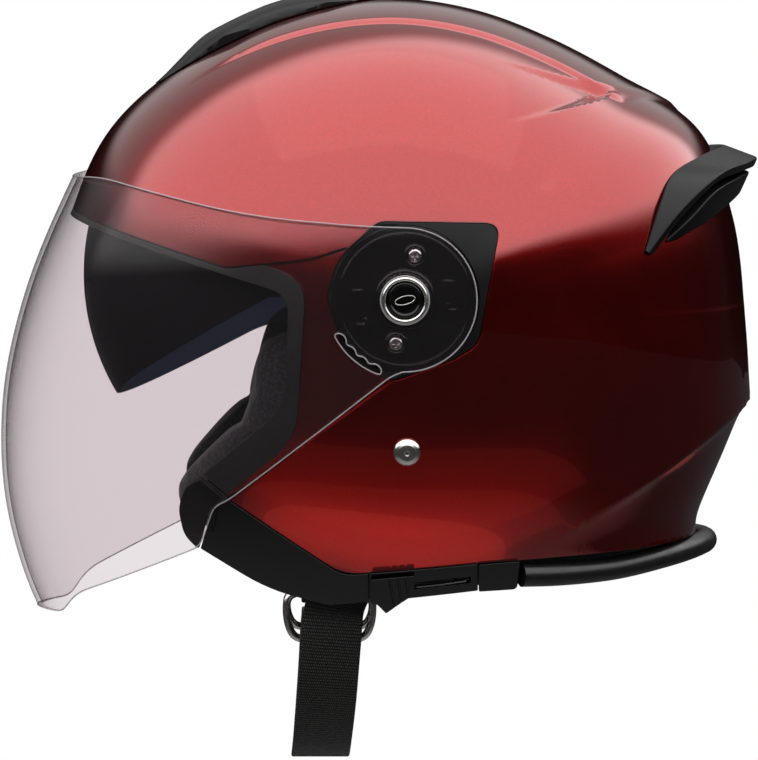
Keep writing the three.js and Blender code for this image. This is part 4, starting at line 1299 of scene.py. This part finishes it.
def puff(obj, voxel_mm, cap_mm, channels=()):
    """A sewn pad: remeshed, blown up softly by a cloth simulation, then drawn in along its channels."""
    even = {"mode": "VOXEL", "voxel_size": voxel_mm * MM}
    for kind, settings in (("REMESH", even), ("SMOOTH", {"iterations": 6})):
        change = obj.modifiers.new(kind, kind)
        for key, value in settings.items():
            setattr(change, key, value)
        settle(obj)
    start = points_of(obj)
    cloth = obj.modifiers.new("cloth", "CLOTH")
    cloth.settings.use_pressure = True
    cloth.settings.uniform_pressure_force = CLOTH_PRESSURE
    cloth.settings.effector_weights.gravity = 0
    for step in range(1, CLOTH_STEPS + 1):
        bpy.context.scene.frame_set(step)
    settle(obj)
    bpy.context.scene.frame_set(1)
    move = points_of(obj) - start
    size = np.linalg.norm(move, axis=1, keepdims=True)
    spots = start + move * np.minimum(1, cap_mm / np.maximum(size, 1e-9))
    set_points(obj, spots)
    spots = points_of(obj)
    normals = read(obj.data.vertices, "normal")
    for (y, z, x), (ny, nz, nx) in channels:
        away = (spots[:, 1] - y) * ny + (spots[:, 2] - z) * nz + (spots[:, 0] - x) * nx
        spots -= normals * (CHANNEL_DEPTH * np.exp(-((away / CHANNEL_WIDTH) ** 2)))[:, None]
    set_points(obj, spots)
    smooth = obj.modifiers.new("smooth", "SUBSURF")
    smooth.levels = smooth.render_levels = 1
    return shade(settle(obj), sharp=180)


def cheek_cushion():
    made = keep_left(layer(CHEEK_PAD, 20.6, 60, around=120, across=60))
    return puff(combine(made, passage(62, 119, -16, 20, 40)), 3, 1, [((-40, -62, 80), (0.5, 0.86, 0))])


def crown_cushion():
    made = layer(CROWN_PAD, FOAM_INNER + 1.6, 42, around=120, across=60)
    return puff(made, 3, 0.8, [((0, 0, 34), (0, 0, 1)), ((0, 0, -34), (0, 0, 1)), ((4, 0, 0), (1, 0, 0))])


def neck_cushion():
    back = combine(body(Skin(-FOAM_INNER - 1.6), 120, 60), passage(87, 112, 2, -1, 40), "UNION")
    face = combine(body(Skin(-43), 120, 60), passage(79, 102, 0, -4, 40), "UNION")
    combine(back, face)
    return puff(main_part(combine(back, prism(NECK_PAD), "INTERSECT")), 3, 0.8, [((0, -66, 0), (0, 1, 0))])


for cushion in finish_pair(cheek_cushion(), "cheek_cushion", FABRIC, "fabric", "helmet", "cheek_pad"):
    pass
finish_piece(crown_cushion(), "crown_cushion", FABRIC, "fabric", "helmet", "crown_pad")
finish_piece(neck_cushion(), "neck_cushion", FABRIC, "fabric", "helmet", "neck_pad")

# ---- Materials of the CAD pieces that stay ----
KEPT = {
    "button_spring": STEEL, "sun_visor_pin": STEEL, "sun_visor_bracket": SATIN, "strap_anchor_plate": STEEL,
}
for side, x in (("left", 1), ("right", -1)):
    for cad_name, made in KEPT.items():
        bpy.data.objects[f"{cad_name}_{side}"].material_slots[0].material = made
    spring = bpy.data.objects[f"button_spring_{side}"]
    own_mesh(spring)


# ---- Camera, lights and floor ----
def aim(obj, target):
    obj.rotation_euler = (Vector(target) - obj.location).to_track_quat("-Z", "Y").to_euler()


def area_light(name, place_m, target, size, power, colour=(1, 1, 1), only=None, shape="RECTANGLE"):
    """A soft rectangle of light, or one that falls on a single piece like a coloured card held near it."""
    data = bpy.data.lights.new(name, "AREA")
    data.color = colour
    data.shape = shape
    data.size, data.size_y = size
    data.energy = power
    lamp = placed(name, data)
    lamp.location = place_m
    lamp.visible_camera = False
    aim(lamp, target)
    if only:
        lit = bpy.data.collections.new(f"{name}_lit")
        lit.objects.link(only)
        lamp.light_linking.receiver_collection = lit


camera_data = bpy.data.cameras.new("camera")
camera_data.lens = 286.4
camera_data.sensor_width = 36
camera_data.clip_end = 50
camera = placed("camera", camera_data)
camera.location = (2.593, -0.00903, 0.156)
aim(camera, (0, -0.00903, -0.0344))
bpy.context.scene.camera = camera

# Low red cards beside the helmet: distance out, place along Y, size and power.
CARD_TINT = (1, 0.14, 0.09)
CARD_Z = -0.335
CARDS = {
    "card": (0.28, -0.04, (0.42, 0.24), 0.16),
    "halo": (0.31, 0, (0.62, 0.36), 0.15),
    "wash": (0.38, 0.02, (0.86, 0.56), 0.24),
}
area_light("overhead_softbox", (0.4, 0, 2.4), (0, 0, 0), (2.6, 2.6), 5)
for side, x in (("left", 1), ("right", -1)):
    for card, (out, y, size, power) in CARDS.items():
        target = (x * out * 0.86, y, 0)
        area_light(f"{side}_{card}", (x * out, y, CARD_Z), target, size, power, CARD_TINT, SHELL, "ELLIPSE")

FLOOR_Z = -0.34
FLOOR_HALF = 5
floor_mesh = bpy.data.meshes.new("floor")
floor_mesh.from_pydata(box(-FLOOR_HALF, FLOOR_HALF, -FLOOR_HALF, FLOOR_HALF, FLOOR_Z), [], [(0, 1, 2, 3)])
floor = placed("floor", floor_mesh)
# The floor looks pale to the camera. Its colour is a painted pool of light, pale close to the helmet and dark
# further out, so it bounces light and is reflected only close to the helmet.
PALE = material("pale_floor", (0.3, 0.3, 0.3), 0.8, Emission_Color=(1, 1, 1, 1), Specular_IOR_Level=0.0)
painted_pool = node(PALE, "ShaderNodeVectorMath", operation="LENGTH")
link(PALE, node(PALE, "ShaderNodeTexCoord"), "Object", painted_pool, 0)
tint(PALE, painted_pool, "Value", (0.2, 0.2, 0.2), (0.02, 0.02, 0.02), 0.32, 0.6)
fill = maths(PALE, "MULTIPLY", (node(PALE, "ShaderNodeLightPath"), "Is Camera Ray"), 0.96)
link(PALE, *fill, bsdf_of(PALE), "Emission Strength")
floor.data.materials.append(PALE)

# A studio dome: bright above, dark near the horizon, and plain white where the camera looks past the helmet.
world = bpy.data.worlds.new("studio")
bpy.context.scene.world = world
world.use_nodes = True
compass = node(world, "ShaderNodeSeparateXYZ")
link(world, node(world, "ShaderNodeTexCoord"), "Generated", compass, "Vector")

# The far edge of the bright part runs a little askew, nearer at the front.
far = node(world, "ShaderNodeVectorMath", operation="DOT_PRODUCT")
link(world, node(world, "ShaderNodeTexCoord"), "Generated", far, 0)
far.inputs[1].default_value = (-1, -0.3, 0)
smooth = {"interpolation_type": "SMOOTHSTEP"}
height = ranged(world, compass, "Z", (0.19, 0.34, 0.01, 2.3), **smooth)
DOME = maths(world, "MULTIPLY", height, ranged(world, far, "Value", (0.44, 0.62, 1, 0.22), **smooth))
mix = node(world, "ShaderNodeMix")
mix.inputs["B"].default_value = 1.0
link(world, node(world, "ShaderNodeLightPath"), "Is Camera Ray", mix, "Factor")
link(world, *DOME, mix, "A")
link(world, mix, "Result", world.node_tree.nodes["Background"], "Strength")
world.node_tree.nodes["Background"].inputs["Color"].default_value = (1, 1, 1, 1)
bpy.context.scene.view_settings.view_transform = "Standard"
